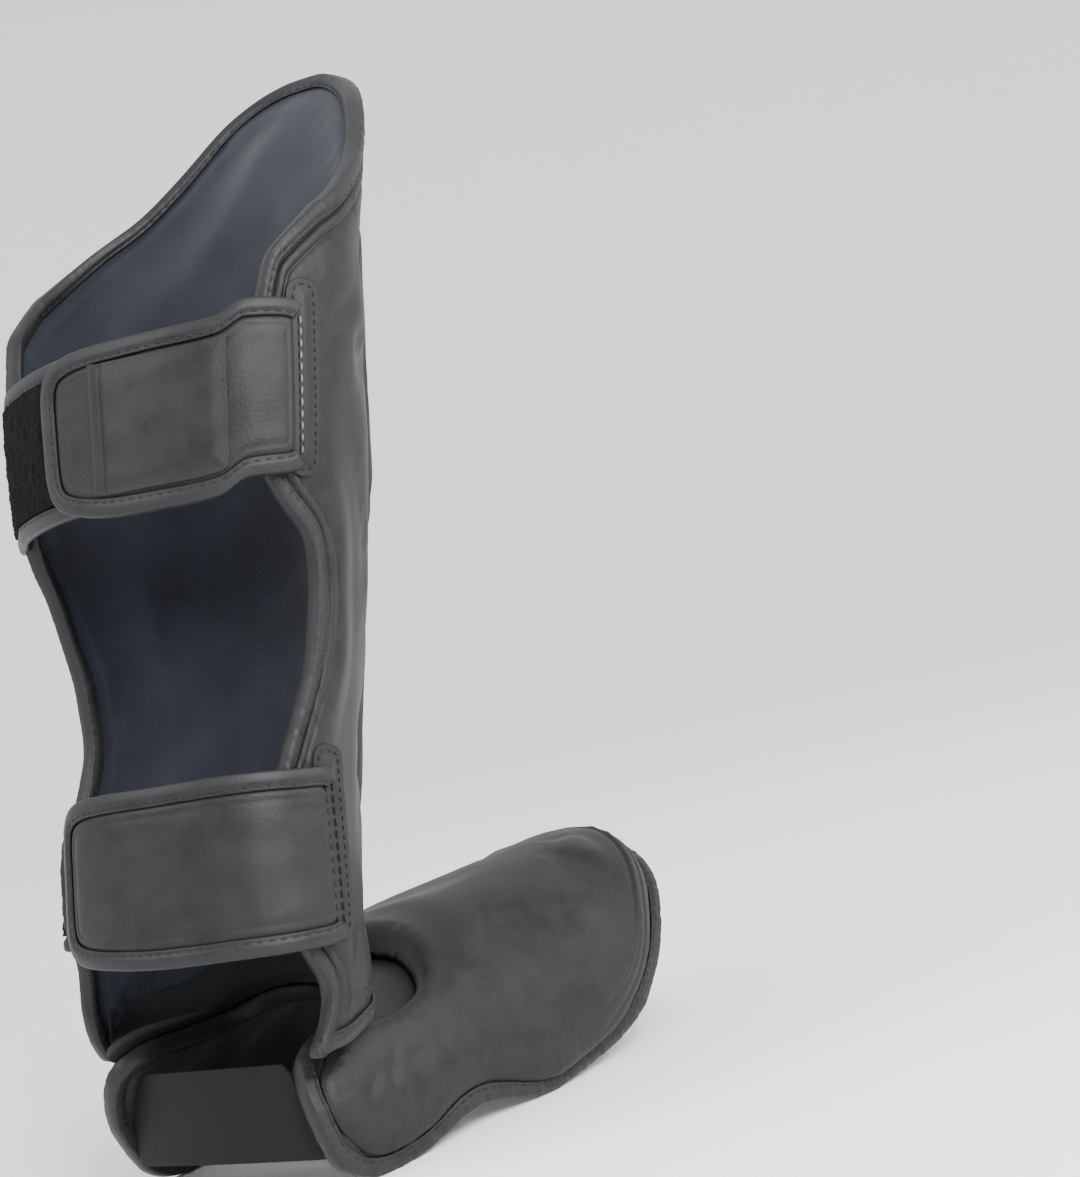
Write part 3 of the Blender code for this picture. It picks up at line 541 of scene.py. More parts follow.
# Finishes: dark and light tone, their span, roughness, bump, specular and sheen; then their groups' scales.
looks = {
    "leather": ((0.0068, 0.0068, 0.0074), (0.0125, 0.0125, 0.0132), (0.6, 1.5), (0.45, 0.54), (0.3, 0.00016), 0.2, 0.0),
    "binding": ((0.0075, 0.0075, 0.0081), (0.015, 0.015, 0.0158), (0.6, 1.5), (0.42, 0.52), (0.3, 0.00016), 0.2, 0.0),
    "lining": ((0.006, 0.0072, 0.0115), (0.0155, 0.018, 0.0275), (0.4, 0.95), (0.8, 0.95), (0.25, 0.0002), 0.2, 0.09),
    "dark": ((0.004, 0.0045, 0.005), (0.009, 0.0095, 0.011), (0.4, 0.95), (0.8, 0.95), (0.25, 0.0002), 0.2, 0.03),
    "elastic": ((0.0035, 0.0035, 0.0036), (0.0085, 0.0085, 0.009), (0.35, 1.0), (0.7, 0.85), (0.2, 0.0001), 0.15, 0.02),
    "pile": ((0.001, 0.001, 0.001), (0.006, 0.006, 0.0065), (0.3, 1.2), (0.95, 1.0), (0.8, 0.0005), 0.05, 0.02),
    "thread": ((0.002, 0.002, 0.002), (0.006, 0.006, 0.0065), (0.5, 1.2), (0.5, 0.7), (0.2, 0.0001), 0.3, 0.0),
    "pale": ((0.055, 0.07, 0.07), (0.11, 0.13, 0.13), (0.5, 1.2), (0.5, 0.7), (0.2, 0.0001), 0.3, 0.0),
}
scales = {"binding": {"Cells": 1100.0}, "pile": {"Cells": 1500.0}, "thread": {"Cells": 3000.0},
          "pale": {"Cells": 3000.0}, "elastic": {"Across": 160.0, "Along": 520.0}}
finishes = {name: material(name, *look) for name, look in looks.items()}
print("materials ready")


# Binding round a whole outline, swelling between its two rows of stitches, one outside and one inside.
trim = {"step": 0.001, "dimple": 0.00007, "seam": 0.72, "lift": 0.0011, "fill": 0.8}
thread = {"pitch": 0.0040, "long": 0.0028, "thick": 0.00046}


def boundRim(name, place, loop, scale, sizes, wall):
    swell = trim["dimple"] * np.cos(np.arange(len(loop)) * trim["step"] / thread["pitch"] * 2 * np.pi) \
        + sizes["pucker"] * ripple(len(loop), sizes["wave"], trim["step"])
    profile = rimProfile(sizes["reach"], sizes["bind"], wall)
    binding = rimPiece(name + "Binding", place, loop, scale, profile, True, swell)
    dressPadded(binding, "binding", name + "_binding")
    path = loop + inward(loop, scale) * trim["seam"] * sizes["reach"]
    rows = [stitchRow(place, path, trim["lift"], thread, True),
            stitchRow(lambda spots, depth: place(spots, wall - depth), path, trim["lift"], thread, True)]
    dress(stitchPiece(name + "Stitches", rows), "thread", name + "_binding")


# Shin pad: outline tables in degrees from the front and shares of the height.
pad = {"front": 0.014, "wing": 0.006, "edge": 0.0024, "lining": 0.0010, "reach": 0.0048, "bind": 0.0014,
       "pucker": 0.00006, "wave": 0.012, "roll": 0.0011, "rollAt": 0.0079, "rollHalf": 0.0021, "puff": 0.0011,
       "ridge": 0.0075, "ridgeSoft": 6.0, "slim": 0.0030}
wingTable = {
    "level": (-0.027, 0.0, 0.03, 0.065, 0.12, 0.175, 0.23, 0.285, 0.34, 0.39, 0.44, 0.48, 0.53, 0.60, 0.655, 0.708),
    "left": (103, 95, 92.5, 104, 117, 117, 110, 101, 94, 93, 95, 110, 122, 124, 120, 115),
    "right": (84, 90, 93, 93, 105, 108, 94, 88, 90, 94, 100, 112, 121, 122, 117, 112),
}
crownTable = {"angle": (-113.5, -103, -92, -80, -68, -57, -43, -32, -20, -10, 0,
                        10, 20, 32, 43, 57, 68, 80, 92, 103, 113.5),
              "level": (0.708, 0.732, 0.755, 0.782, 0.814, 0.845, 0.895, 0.936, 0.966, 0.985, 0.996,
                        0.996, 0.988, 0.96, 0.905, 0.85, 0.824, 0.793, 0.76, 0.73, 0.708)}
hemTable = {"angle": (-102, -93, -85, -77, -70, -54, -40, -28, -14, 0, 14, 28, 40, 54, 70, 82, 93, 102),
            "level": (-0.03, -0.02, -0.016, -0.008, -0.001, 0.007, 0.028, 0.05, 0.066, 0.072,
                      0.066, 0.052, 0.034, 0.022, 0.016, 0.008, -0.01, -0.027)}
ridgeTable = {"level": (0.157, 0.31, 0.41, 0.47, 0.54, 0.61, 0.71, 0.78, 0.82, 0.854, 0.87),
              "half": (23, 24, 24.5, 27, 31, 32, 34, 33, 26, 14, 0)}
shinScale = np.array([math.radians(0.85 * shin["half"]), shin["height"]])


def wingSide(side, sign):
    level = wingTable["level"][0] + (wingTable["level"][-1] - wingTable["level"][0]) * dense
    return np.stack([sign * read(wingTable, level, side)[0], level], -1)


# Hem or crown, stretched so that its ends meet the wings'.
def crossSide(table, key):
    left, right = -wingTable["left"][key], wingTable["right"][key]
    angle = left + (right - left) * dense
    stretch = np.where(angle < 0, table["angle"][0] / left, table["angle"][-1] / right)
    return np.stack([angle, *read(table, angle * stretch, "level")], -1)


# Padding thickness: thin on the wings, thick in front, thinner towards the rim.
def padDepth(angle, edge):
    core = pad["wing"] + (pad["front"] - pad["wing"]) * softStep((90 - np.abs(angle)) / 30)
    return pad["edge"] + (core - pad["edge"]) * softStep((edge - 0.0075) / 0.038)


def shinPlace(grid, depth):
    return legPoint(grid[..., 0], grid[..., 1], depth)


sides = [crossSide(hemTable, 0), wingSide("right", 1), crossSide(crownTable, -1)[::-1], wingSide("left", -1)[::-1]]
shinLoop, shinCorners = softLoop(sides, shinScale, trim["step"], 0.004)
shinNet = netInside(shinLoop, shinCorners, shinScale)
shinGrid = refine(shinNet, 251, 181)
shinEdge, shinNear = fromEdge(shinGrid, shinLoop, shinScale)
front, level = np.abs(shinGrid[..., 0]), shinGrid[..., 1]
half = read(ridgeTable, level, "half")[0]
ridge = softStep((half - front) / pad["ridgeSoft"] + 0.5)
ridge *= softStep((level - ridgeTable["level"][0]) / 0.012 + 0.5)
ridge *= softStep((ridgeTable["level"][-1] - level) / 0.02 + 0.5)
overHem = softStep((level - 0.01) / 0.05)

# The cover's lift: ridge and puff, slimmer in front, then the welt, its two grooves, puckers and wrinkles.
pucker = ripple(len(shinLoop), 0.011, trim["step"])[shinNear] * bell(shinEdge - 0.011, 0.006)
shinLift = pad["ridge"] * ridge + pad["puff"] * softStep((shinEdge - pad["reach"]) / 0.012)
shinLift -= pad["slim"] * softStep((95 - front) / 30) * softStep((shinEdge - 0.01) / 0.02)
shinLift += pad["roll"] * arch(shinEdge - pad["rollAt"], pad["rollHalf"]) * overHem
shinLift -= (0.0006 * bell(shinEdge - 0.0106, 0.0009) + 0.0004 * bell(shinEdge - 0.0056, 0.0006)) * overHem
shinLift += 0.00012 * pucker + 0.00018 * unevenness(shinGrid, shinScale, 0.045) * softStep(shinEdge / 0.02)
crownWrinkles = [((-24, 0.955), (-14, 0.965), (-4, 0.962)), ((-10, 0.925), (2, 0.932), (12, 0.925)),
                 ((6, 0.965), (15, 0.955), (24, 0.94)), ((-30, 0.93), (-22, 0.938), (-12, 0.935)),
                 ((14, 0.905), (24, 0.908), (33, 0.895))]
for line in crownWrinkles:
    shinLift -= crease(shinGrid, shinScale, line, 0.0012, 0.00035)
billow = clothShift(shinPlace(shinNet, -0.001), 0.01)
shinOuter = shinPlace(shinGrid, -shinLift) \
    + refine(billow, 251, 181) * softStep((shinEdge - 0.012) / 0.02)[..., None]
shinWear = softStep(1 - np.abs(shinEdge - pad["rollAt"]) / 0.002) * 0.6 + 0.5 * ridge * (1 - ridge) * 2
shinInner = shinPlace(shinGrid, padDepth(shinGrid[..., 0], shinEdge))
dressPadded(wallPiece("shinCover", shinOuter, shinInner, shinGrid * shinScale, shinWear),
            "leather", "shin_cover")

# The lining lies in the rim's recess and stands proud inside it.
liningGrid = refine(shinNet, 141, 121, 0.4)
liningEdge, liningNear = fromEdge(liningGrid, shinLoop, shinScale)
liningTop = padDepth(liningGrid[..., 0], liningEdge) + gap
sag = 0.0003 * unevenness(liningGrid, shinScale, 0.03)
sag += 0.00025 * ripple(len(shinLoop), 0.014, trim["step"])[liningNear] * bell(liningEdge - 0.012, 0.008)
sag *= softStep((liningEdge - 0.005) / 0.01)
sag += 0.0034 * arch(softStep((liningEdge - 0.0068) / 0.005) - 1, 1.0)
sag += crease(liningGrid, shinScale, ((-60, 0.80), (-57, 0.70), (-59, 0.60)), 0.0016, 0.0006)
liningBack = liningTop + pad["lining"] + np.maximum(sag, -0.0006)
dressSheet(wallPiece("shinLining", shinPlace(liningGrid, liningTop), shinPlace(liningGrid, liningBack),
                     liningGrid * shinScale), "lining", "shin_lining")
boundRim("shin", shinPlace, shinLoop, shinScale, pad, pad["edge"] + gap + pad["lining"])
print("shin pad ready")


# Instep: outline tables in degrees from the ridge and shares of the length from the heel end.
foot = {"wall": 0.0026, "lining": 0.0010, "reach": 0.0044, "bind": 0.0013, "pucker": 0.0001, "wave": 0.011,
        "roll": 0.0009, "rollAt": 0.0074, "rollHalf": 0.0021}
rearTable = {"way": (-1.0, -0.93, -0.85, -0.75, -0.65, -0.55, -0.45, -0.34, -0.2, 0.0,
                     0.2, 0.34, 0.45, 0.55, 0.65, 0.75, 0.85, 0.93, 1.0),
             "angle": (-88, -79, -69, -57, -48, -42, -36, -27, -15, 0, 17, 30, 36, 36, 34, 37, 50, 70, 88),
             "run": (0.04, 0.032, 0.032, 0.044, 0.062, 0.11, 0.16, 0.205, 0.235, 0.25,
                     0.25, 0.235, 0.185, 0.12, 0.06, 0.012, -0.01, 0.0, 0.034)}
sideTable = {"run": (0.034, 0.06, 0.09, 0.14, 0.20, 0.268, 0.313, 0.355, 0.455, 0.49),
             "angle": (88, 93, 96.5, 98.6, 98, 94.4, 93, 94.6, 103, 104.5)}
toeTable = {"angle": (0, 14, 27, 43, 62, 82, 90, 95, 100, 104.5),
            "run": (0.985, 0.975, 0.95, 0.91, 0.845, 0.775, 0.735, 0.695, 0.63, 0.49)}
padHalf = np.array([(0.15, 0.3, 0.42, 0.52, 0.6, 0.7, 0.8, 0.9, 1.0), (14, 27, 38, 45, 48, 50, 55, 64, 76),
                    (0.383, 0.358, 0.33, 0.297, 0.26, 0.205, 0.14, 0.085, 0.07)])
padRearTable = {key: np.concatenate([sign * row[::-1], [middle], row])
                for key, sign, middle, row in zip(("way", "angle", "run"), (-1, -1, 1), (0, 0, 0.395), padHalf)}
padSideTable = {"run": (0.07, 0.11, 0.15, 0.20, 0.268, 0.32, 0.38, 0.455, 0.49),
                "angle": (76, 86, 89.5, 89.5, 86, 84.5, 87, 94, 95.5)}
padToeTable = {"angle": (0, 14, 27, 43, 62, 78, 86, 90, 94, 95.5),
               "run": (0.957, 0.947, 0.922, 0.88, 0.814, 0.746, 0.69, 0.645, 0.565, 0.49)}
footScale = np.array([math.radians(0.9 * instep["half"]), instep["length"]])


# Rear, right side, toe and the mirrored side make one outline.
def footLoop(rear, side, toe):
    way = 2 * dense - 1
    low = np.stack(read(rear, way, "angle", "run"), -1)
    toeAngle = toe["angle"][-1] * way
    high = np.stack([toeAngle, *read(toe, np.abs(toeAngle), "run")], -1)
    run = side["run"][0] + (side["run"][-1] - side["run"][0]) * dense
    right = np.stack([*read(side, run, "angle"), run], -1)
    sides = [low, right, high[::-1], (right * np.array([-1.0, 1.0]))[::-1]]
    return softLoop(sides, footScale, trim["step"], 0.003)


def basePlace(grid, depth):
    return footPoint(grid[..., 0], grid[..., 1], 1.0, depth)


def padPlace(grid, share):
    return footPoint(grid[..., 0], grid[..., 1], share, 0.0)


baseLoop, baseCorners = footLoop(rearTable, sideTable, toeTable)
baseNet = netInside(baseLoop, baseCorners, footScale)
baseGrid = refine(baseNet, 141, 121)
baseEdge, baseNear = fromEdge(baseGrid, baseLoop, footScale)
baseLift = foot["roll"] * arch(baseEdge - foot["rollAt"], foot["rollHalf"]) * softStep(baseEdge / 0.005)
baseLift += 0.0002 * ripple(len(baseLoop), 0.012, trim["step"])[baseNear] * bell(baseEdge - 0.009, 0.004)
baseWear = softStep(1 - np.abs(baseEdge - foot["rollAt"]) / 0.002) * 0.6
dressPadded(wallPiece("instepBase", basePlace(baseGrid, -baseLift), basePlace(baseGrid, foot["wall"]),
                      baseGrid * footScale, baseWear), "leather", "instep_base")

footLiningGrid = refine(baseNet, 101, 91, 0.4)
footLiningEdge, _ = fromEdge(footLiningGrid, baseLoop, footScale)
footSag = 0.0003 * unevenness(footLiningGrid, footScale, 0.025) * softStep((footLiningEdge - 0.005) / 0.01)
footTop = foot["wall"] + gap
footBack = footTop + foot["lining"] + np.maximum(footSag, -0.0004)
dressSheet(wallPiece("instepLining", basePlace(footLiningGrid, footTop), basePlace(footLiningGrid, footBack),
                     footLiningGrid * footScale), "lining", "instep_lining")
boundRim("instep", basePlace, baseLoop, footScale, foot, foot["wall"] + gap + foot["lining"])

# The pad's outline is drawn out to the binding where it passes near it.
topLoop, topCorners = footLoop(padRearTable, padSideTable, padToeTable)
beside, nearest = fromEdge(topLoop[:, None], baseLoop, footScale)
target = (baseLoop + inward(baseLoop, footScale) * (foot["reach"] + 0.0004))[nearest[:, 0]]
pull = softStep((0.019 - beside[:, 0]) / 0.007)[:, None]
before, drawn = len(topLoop), (1 - pull) * topLoop + pull * target
topLoop, _ = softLoop([np.concatenate([drawn, drawn[:1]])], footScale, trim["step"], 0.002)
topNet = netInside(topLoop, topCorners * len(topLoop) / before, footScale)
topGrid = refine(topNet, 191, 161)
topEdge, topNear = fromEdge(topGrid, topLoop, footScale)

# Share of the thickness left out: none inside, all but a little at the rim, with the toe's double seam.
toeward = softStep((topGrid[..., 1] - 0.55) / 0.15)
swollen = 1 - (1 - np.clip(topEdge / 0.009, 0, 1)) ** 2
topShare = 0.93 - 0.93 * np.sqrt(swollen) - 0.10 * softStep((topEdge - 0.006) / 0.02)
topShare += 0.14 * toeward * bell(topEdge - 0.0085, 0.0009) + 0.10 * bell(topEdge - 0.0042, 0.0008) * toeward
topShare += 0.007 * unevenness(topGrid, footScale, 0.04) * softStep(topEdge / 0.015)
topShare += 0.012 * ripple(len(topLoop), 0.009, trim["step"])[topNear] * bell(topEdge - 0.006, 0.003)
heelCreases = [((-68, 0.16), (-74, 0.12), (-83, 0.105)), ((-62, 0.20), (-72, 0.17), (-84, 0.135)),
               ((-88, 0.20), (-82, 0.24), (-80, 0.30))]
for line in heelCreases:
    topShare += crease(topGrid, footScale, line, 0.0023, 0.08)
topBillow = clothShift(padPlace(topNet, 0.0), 0.012)
topOuter = padPlace(topGrid, topShare) + refine(topBillow, 191, 161) * softStep((topEdge - 0.01) / 0.02)[..., None]
dressPadded(wallPiece("instepPad", topOuter, padPlace(topGrid, 0.97), topGrid * footScale,
                      0.5 * bell(topEdge - 0.006, 0.003)), "leather", "instep_pad")
print("instep ready")


# Ankle gusset: rows from the instep base up behind the shin lining, read as a smooth curve.
gusset = {"turn": (-66, 0, 60, 86), "way": (-0.5, 0.0, 0.5, 0.8), "behind": 0.0018, "wall": 0.0012,
          "tuck": 0.0076, "drop": 0.0045, "inset": 0.008, "rise": 0.0030, "fold": 0.0007}
turn, up = np.linspace(gusset["turn"][0], gusset["turn"][-1], 141), np.linspace(0, 1, 31)
deep = pad["edge"] + pad["lining"] + gusset["behind"] + 4 * gap
hem, way = read(hemTable, turn, "level")[0], read(gusset, turn, "way")[0]
rim = np.stack(read(rearTable, way, "angle", "run"), -1)
rimInto = inward(rim, footScale)
rimInto[[0, -1]] = rimInto[[1, -2]]
head, knee = (legPoint(turn, hem + high / shin["height"], deep) for high in (gusset["tuck"], -gusset["drop"]))
toe, bend = (basePlace(rim + rimInto * far, -gusset["rise"]) for far in (gusset["inset"], -0.001))
sheet = np.einsum("ri,ick->rck", cubicWeights(up, 5), np.stack([toe, bend, 0.5 * (knee + bend), knee, head]))
facing = np.cross(np.gradient(sheet, axis=1), np.gradient(sheet, axis=0))
facing /= np.linalg.norm(facing, axis=2, keepdims=True)
up = up[:, None]
fold = gusset["fold"] * np.sin(3 * np.pi * up) * softStep(4 * up) * softStep(4 - 4 * up) \
    * (1 + 0.3 * np.sin(turn * 0.21))
sheet = sheet + facing * fold[..., None]
gussetFlat = np.stack(np.broadcast_arrays(turn * 0.0011, up * 0.03), -1)
dressSheet(wallPiece("ankleGusset", sheet, sheet - facing * gusset["wall"], gussetFlat),
           "dark", "ankle_gusset")


# Straps, patches and tabs: bands laid on the shin section, in metres along and across.
bind = gap + 0.0012
walls = {"patch": 0.0015, "tab": 0.002, "loop": 0.0015, "strap": 0.003, "badge": 0.0008}
tabTop = bind + 0.0008 + walls["tab"]
loopTop = tabTop + gap + walls["loop"]
farFloor = max(loopTop, tabTop + bind) + gap
rootFloor = gap + walls["patch"] + 2 * gap
edges = {"tab": {"reach": 0.0048, "bind": 0.0012, "seam": 0.0035, "lift": 0.0010},
         "strap": {"reach": 0.0052, "bind": 0.0013, "seam": 0.0037, "lift": 0.0011}}
dots = {"pitch": 0.0032, "long": 0.0019, "thick": 0.0003}
badge = {"start": 0.33, "end": 0.81, "margin": 0.0060, "lift": 0.0009}
shapes = {
    "patch": 0.86 + 0.14 * arch(dense - 0.5, 0.56),
    "tab": 1 - 0.12 * softStep((dense - 0.8) / 0.2),
    "strap": smooth((0.0, 0.12, 0.3, 0.5, 0.7, 0.86, 0.93, 0.97, 1.0),
                    (1.0, 1.0, 1.02, 1.02, 1.01, 0.98, 0.93, 0.86, 0.74), dense),
    "badge": np.ones_like(dense),
}
closures = {
    "upper": {"root": -104.0, "end": -188.0, "level": 0.5825, "width": 0.058, "risen": 0.55,
              "squeeze": 0.004, "fade": 50, "begin": 106.0, "ramp": 14.0, "seams": (0.0016,), "thread": "pale",
              "way": (0.0, 0.25, 0.37, 0.5, 0.7, 1.0), "drop": (0.0, 0.02, 0.12, 0.15, 0.16, 0.12),
              "patch": (-94.0, -109.0, 0.5925, 0.070), "tab": (100.0, 202.0, 0.5655, 0.055)},
    "lower": {"root": -88.0, "end": -199.0, "level": 0.155, "width": 0.0575, "risen": 0.6,
              "squeeze": 0.015, "fade": 78, "begin": 97.0, "ramp": 10.0, "seams": (0.0022, 0.006),
              "thread": "thread", "way": (0.0, 0.15, 0.4, 0.7, 1.0), "drop": (0.0, 0.03, 0.06, 0.09, 0.07),
              "patch": (-81.0, -95.5, 0.165, 0.0675), "tab": (96.0, 186.0, 0.149, 0.0455)},
}


# Length of the section's arc between two angles at one level.
def bandLength(start, end, level, lift):
    spots = legPoint(np.linspace(start, end, 200), np.full(200, level), -lift)
    return np.linalg.norm(np.diff(spots, axis=0), axis=1).sum()


# Way along a band to the angle, way across it to the level, for a band from start to end at a level.
def onLeg(grid, start, end, length, level, depth):
    return legPoint(start + (end - start) * grid[..., 0] / length, level + grid[..., 1] / shin["height"], depth)


# Outline of a band: two long sides half its width off the middle, and two short ends.
def bandLoop(length, kind, width, radius):
    half = 0.5 * width * shapes[kind]
    low, high = (np.stack([dense * length, sign * half], -1) for sign in (-1, 1))
    ends = np.linspace(-1, 1, 60)
    left, right = (np.stack([np.full(60, x), off * ends], -1) for x, off in ((0.0, half[0]), (length, half[-1])))
    return softLoop([low, right, high[::-1], left[::-1]], one, 0.0008, radius)


# Padded band: flat to the binding's reach, then crowned by the puff and the extra lift.
def bandPiece(name, rim, place, kind, rows, columns, puff, reach, extra=None):
    grid = refine(netInside(*rim, one, 31, 200), rows, columns, 0.5)
    edge, _ = fromEdge(grid, rim[0], one)
    lift = puff * softStep((edge - reach) / 0.006)
    lift += 0.00012 * unevenness(grid, one, 0.02) * softStep((edge - reach) / 0.01)
    if extra is not None:
        lift += extra(grid, edge)
    return wallPiece(name, place(grid, -lift), place(grid, walls[kind]), grid, 0.6 * bell(edge - reach, 0.002))


# Binding and stitches of a band, round all its sides but the sewn one.
def boundEdge(side, kind, rim, place):
    loop, corners = rim
    edge, count = edges[kind], int(round(corners[3])) + 1
    profile = rimProfile(edge["reach"], edge["bind"], walls[kind], False)
    name, slotName = side + kind.capitalize(), side + "_" + kind + "_binding"
    binding = rimPiece(name + "Binding", place, loop[:count], one, profile, False)
    dressPadded(binding, "binding", slotName)
    path = (loop + inward(loop, one) * edge["seam"])[:count]
    dress(stitchPiece(name + "Stitches", [stitchRow(place, path, edge["lift"], thread)]), "thread", slotName)


for side, part in closures.items():
    patchStart, patchEnd, patchLevel, patchWidth = part["patch"]
    tabStart, tabEnd, tabLevel, tabWidth = part["tab"]
    strapLength = bandLength(part["root"], part["end"], part["level"], farFloor)
    tabLength = bandLength(tabStart, tabEnd, tabLevel, tabTop)
    patchLength = bandLength(patchStart, patchEnd, patchLevel, gap)

    # The depth less what lies under the band's top, and for tab and strap also the squeeze.
    def patchPlace(grid, depth):
        return onLeg(grid, patchStart, patchEnd, patchLength, patchLevel, depth - gap - walls["patch"])

    # Inward pull on the far side: a soft rise times a soft fall towards 190 degrees.
    def squeeze(grid, start, end, length):
        turn = np.mod(start + (end - start) * grid[..., 0] / length, 360)
        rise, fall = (turn - part["begin"]) / part["ramp"], (190 - turn) / part["fade"]
        return part["squeeze"] * softStep(rise) * softStep(fall)

    def tabPlace(grid, depth):
        run = (grid, tabStart, tabEnd, tabLength)
        return onLeg(*run, tabLevel, depth - tabTop + squeeze(*run))

    # The level drops along the way and the floor rises from root to far side.
    def strapPlace(grid, depth):
        share, run = np.clip(grid[..., 0] / strapLength, 0, 1), (grid, part["root"], part["end"], strapLength)
        level = part["level"] - smooth(part["way"], part["drop"], share) * part["width"] / shin["height"]
        lift = rootFloor + (farFloor - rootFloor) * softStep(share / part["risen"])
        return onLeg(*run, level, depth - lift - walls["strap"] + squeeze(*run))

    # Welt along the rim less a groove at the first seam and one three times as far in.
    def rootSeam(grid, edge):
        roll, seam = 0.0005 * arch(edge - 0.0068, 0.0014), part["seams"][0]
        return roll - 0.0005 * bell(grid[..., 0] - seam, 0.001) - 0.0004 * bell(grid[..., 0] - 3 * seam, 0.0012)

    rim = bandLoop(patchLength, "patch", patchWidth, 0.003)
    patch = bandPiece(side + "Patch", rim, patchPlace, "patch", 61, 31, 0.0016, 0.0026)
    dressPadded(patch, "leather", side + "_strap_patch")
    rows = [stitchRow(patchPlace, rim[0] + inward(rim[0], one) * 0.0022, 0.0002, dots, True)]
    dress(stitchPiece(side + "PatchStitches", rows), "thread", side + "_strap_patch")

    rim = bandLoop(tabLength, "tab", tabWidth, 0.004)
    tab = bandPiece(side + "Tab", rim, tabPlace, "tab", 41, 101, 0.0003, 0.005)
    dressPadded(tab, "leather", side + "_tab")
    boundEdge(side, "tab", rim, tabPlace)

    # Loop fabric between the tab's bindings, its pile rough at random.
    u, v = np.linspace(0.03, 0.9, 141) * tabLength, np.linspace(-0.5, 0.5, 71) * (tabWidth - 2 * 0.0052)
    grid = np.stack(np.meshgrid(u, v), -1)
    fuzz = 0.00045 * dice.random(grid.shape[:2]) ** 2
    fuzz += 0.0002 * unevenness(grid, one, 0.006)
    panel = wallPiece(side + "LoopPanel", tabPlace(grid, -gap - walls["loop"] - fuzz), tabPlace(grid, -gap), grid)
    dressPadded(panel, "pile", side + "_loop_panel")

    rim = bandLoop(strapLength, "strap", part["width"], 0.0062)
    strap = bandPiece(side + "Strap", rim, strapPlace, "strap", 61, 141, 0.0009, 0.005, rootSeam)
    dressPadded(strap, "leather", side + "_strap")
    boundEdge(side, "strap", rim, strapPlace)
    across = np.linspace(-0.42, 0.42, 60) * part["width"]
    seams = [stitchRow(strapPlace, np.stack([np.full(60, x), across], -1), 0.0002, thread) for x in part["seams"]]
    dress(stitchPiece(side + "RootStitches", seams), part["thread"], side + "_strap")

    if side == "upper":
        badgeLength = (badge["end"] - badge["start"]) * strapLength

        # The strap's place, moved along to the badge and up by its wall.
        def badgePlace(grid, depth):
            moved = grid + np.array([badge["start"] * strapLength, 0.0])
            return strapPlace(moved, depth - gap - badge["lift"] - walls["badge"])

        # Raised line beside the far end, with a groove next to it.
        def frameLine(grid, edge):
            left = badgeLength - grid[..., 0]
            return 0.0008 * arch(left - 0.0012, 0.0012) - 0.0005 * bell(left - 0.0040, 0.0010)

        rim = bandLoop(badgeLength, "badge", part["width"] - 2 * badge["margin"], 0.0010)
        panel = bandPiece("upperBadge", rim, badgePlace, "badge", 61, 71, 0.0004, 0.001, frameLine)
        dressPadded(panel, "leather", "upper_strap_badge")
print("straps ready")


# Elastics: bands from the left side of the instep to the right, ribbed along their length.
inside = foot["wall"] + foot["lining"] + 0.0012 + 5 * gap
elastics = {
    "heel": {"angles": np.linspace(43, 89, 41), "runs": np.full(41, 0.048), "shift": -0.024, "bulge": 0.006,
             "sag": 0.0, "thick": (-0.0015, 0.0), "flat": (0.094, 0.038)},
    "sole": {"angles": np.full(41, 92.0), "runs": 0.165 + np.linspace(0, 0.026 / 0.246, 41), "shift": 0.0,
             "bulge": 0.0, "sag": 0.002, "thick": (0.0, 0.0015), "flat": (0.1, 0.026)},
}
lean, share = math.radians(stance["lean"]), np.linspace(-1, 1, 81)
back, above = np.array([0, math.cos(lean), math.sin(lean)]), np.array([0, -math.sin(lean), math.cos(lean)])
ribs = 0.00005 * np.sin(np.linspace(0, 14 * 2 * np.pi, 41))[:, None, None] / 0.0015
uv = np.stack(np.broadcast_arrays(share * 0.04, np.linspace(0, 0.03, 41)[:, None]), -1)
for label, band in elastics.items():
    right = footPoint(band["angles"], band["runs"] + band["shift"], 1.0, inside)
    left = footPoint(-band["angles"], band["runs"], 1.0, inside)
    grid = 0.5 * (right + left)[:, None] + 0.5 * (right - left)[:, None] * share[None, :, None]
    grid = grid + (1 - share**2)[None, :, None] * (band["bulge"] * back - band["sag"] * above)
    thick = band["thick"][0] * back + band["thick"][1] * above
    dressSheet(wallPiece(label + "Elastic", grid - ribs * thick, grid + thick, uv), "elastic",
               label + "_elastic")
print("elastics ready")


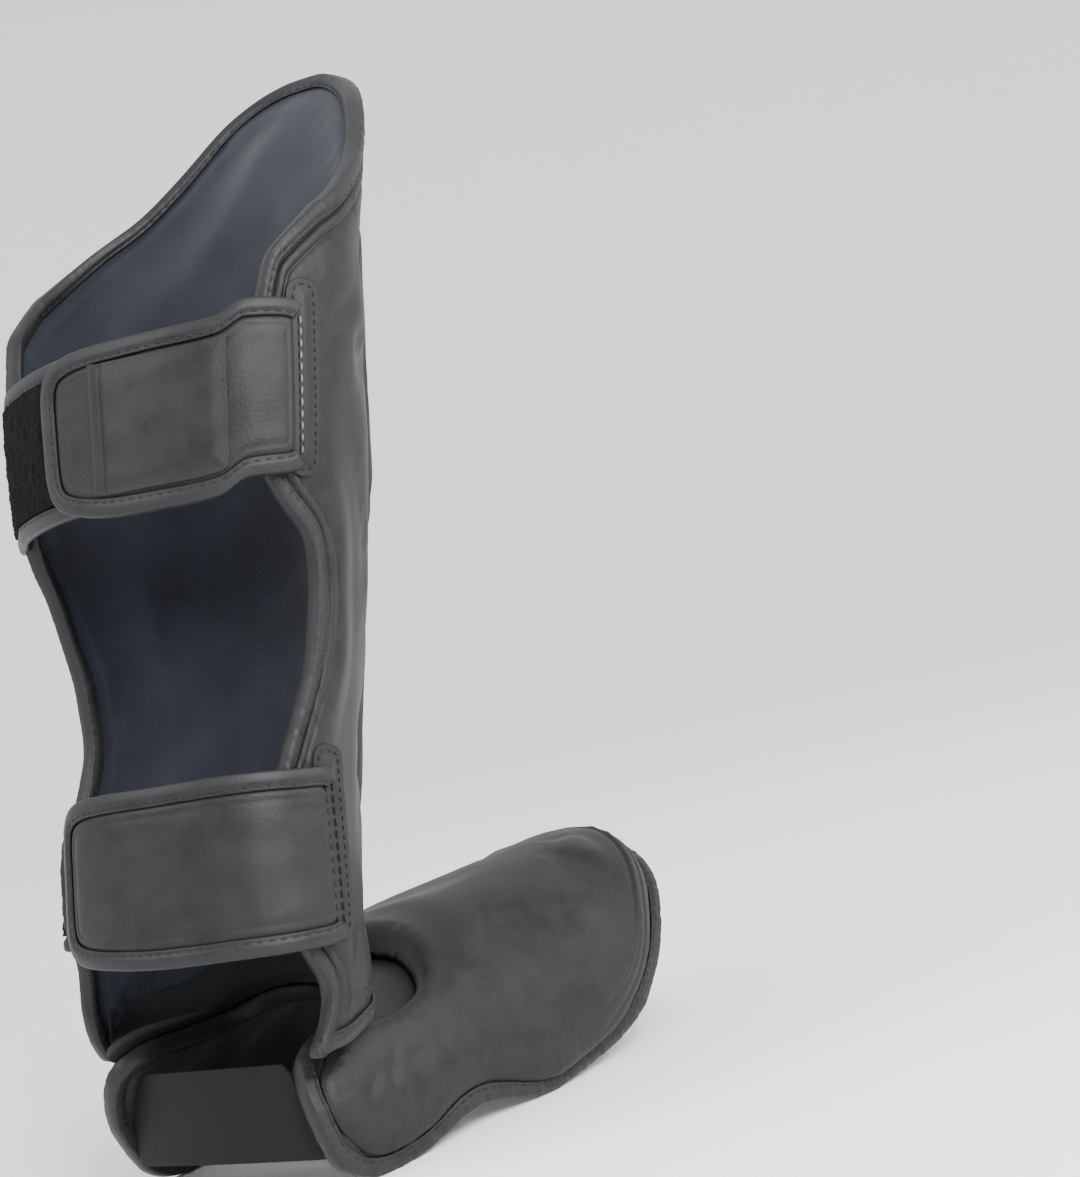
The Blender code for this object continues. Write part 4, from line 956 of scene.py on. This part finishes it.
# Pale studio bowl, soft lights, and the camera at the photograph's place.
radius = np.concatenate([np.linspace(0.001, 1.5, 12), np.linspace(1.7, 3.4, 22)])[:, None]
turns = np.linspace(0, 2 * np.pi, 97)
height = 2.4 * softStep((radius - 1.6) / 3.6)
bowl = np.stack(np.broadcast_arrays(radius * np.cos(turns), radius * np.sin(turns), height), -1)
floor = makePiece("studioFloor", bowl.reshape(-1, 3), gridFaces(len(radius), len(turns)).tolist())
floorFinish = bpy.data.materials.new("floorFinish")
floorFinish.use_nodes = True
tree = floorFinish.node_tree
clouds = noise(tree, addNode(tree, "TexCoord").outputs["Object"], 2.0, 2.0)
ramp = addNode(tree, "ValToRGB", [("Fac", clouds)])
for stop, tone in zip(ramp.color_ramp.elements, (0.92, 0.94)):
    stop.color = (tone, tone, tone, 1.0)
fill(tree, tree.nodes["Principled BSDF"], [("Base Color", ramp.outputs[0])], Roughness=0.9)
floor.data.materials.append(floorFinish)

world = bpy.data.worlds.new("studio")
world.use_nodes = True
fill(world.node_tree, world.node_tree.nodes["Background"], Color=(0.97, 0.98, 1.0, 1.0), Strength=1.25)
bpy.context.scene.world = world

lights = {"keyLight": ((-1.05, 0.45, 0.85), 0.6, 30.0), "sideLight": ((-1.2, -0.6, 0.75), 0.6, 12.0),
          "farLight": ((0.7, 1.4, 1.4), 1.0, 24.0)}
for name, (spot, size, power) in lights.items():
    lamp = bpy.data.lights.new(name, "AREA")
    lamp.size, lamp.energy = size, power
    light = addObject(name, lamp)
    light.location, light.rotation_mode = spot, "QUATERNION"
    light.rotation_quaternion = (Vector((0, 0, 0.18)) - Vector(spot)).to_track_quat("-Z", "Y")

view = {"eye": (-0.6846, 0.6077, 0.0619), "right": (-0.7523, -0.6554, -0.0672), "up": (-0.1486, 0.0693, 0.9865),
        "ahead": (0.6419, -0.7521, 0.1495), "lens": 2547 / 1177 * 36}
eye = stand(np.array(view["eye"]))
axes = [stand(np.array(view[k])) - stand(np.zeros(3)) for k in ("right", "up", "ahead")]
place = Matrix([[axes[0][i], axes[1][i], -axes[2][i], eye[i]] for i in range(3)] + [[0, 0, 0, 1]])
camera = addObject("camera", bpy.data.cameras.new("camera"))
camera.data.lens, camera.data.sensor_width, camera.data.clip_start = view["lens"], 36.0, 0.01
camera.rotation_mode = "QUATERNION"
camera.location, camera.rotation_quaternion = place.to_translation(), place.to_quaternion()
bpy.context.scene.camera = camera

print("stage ready")
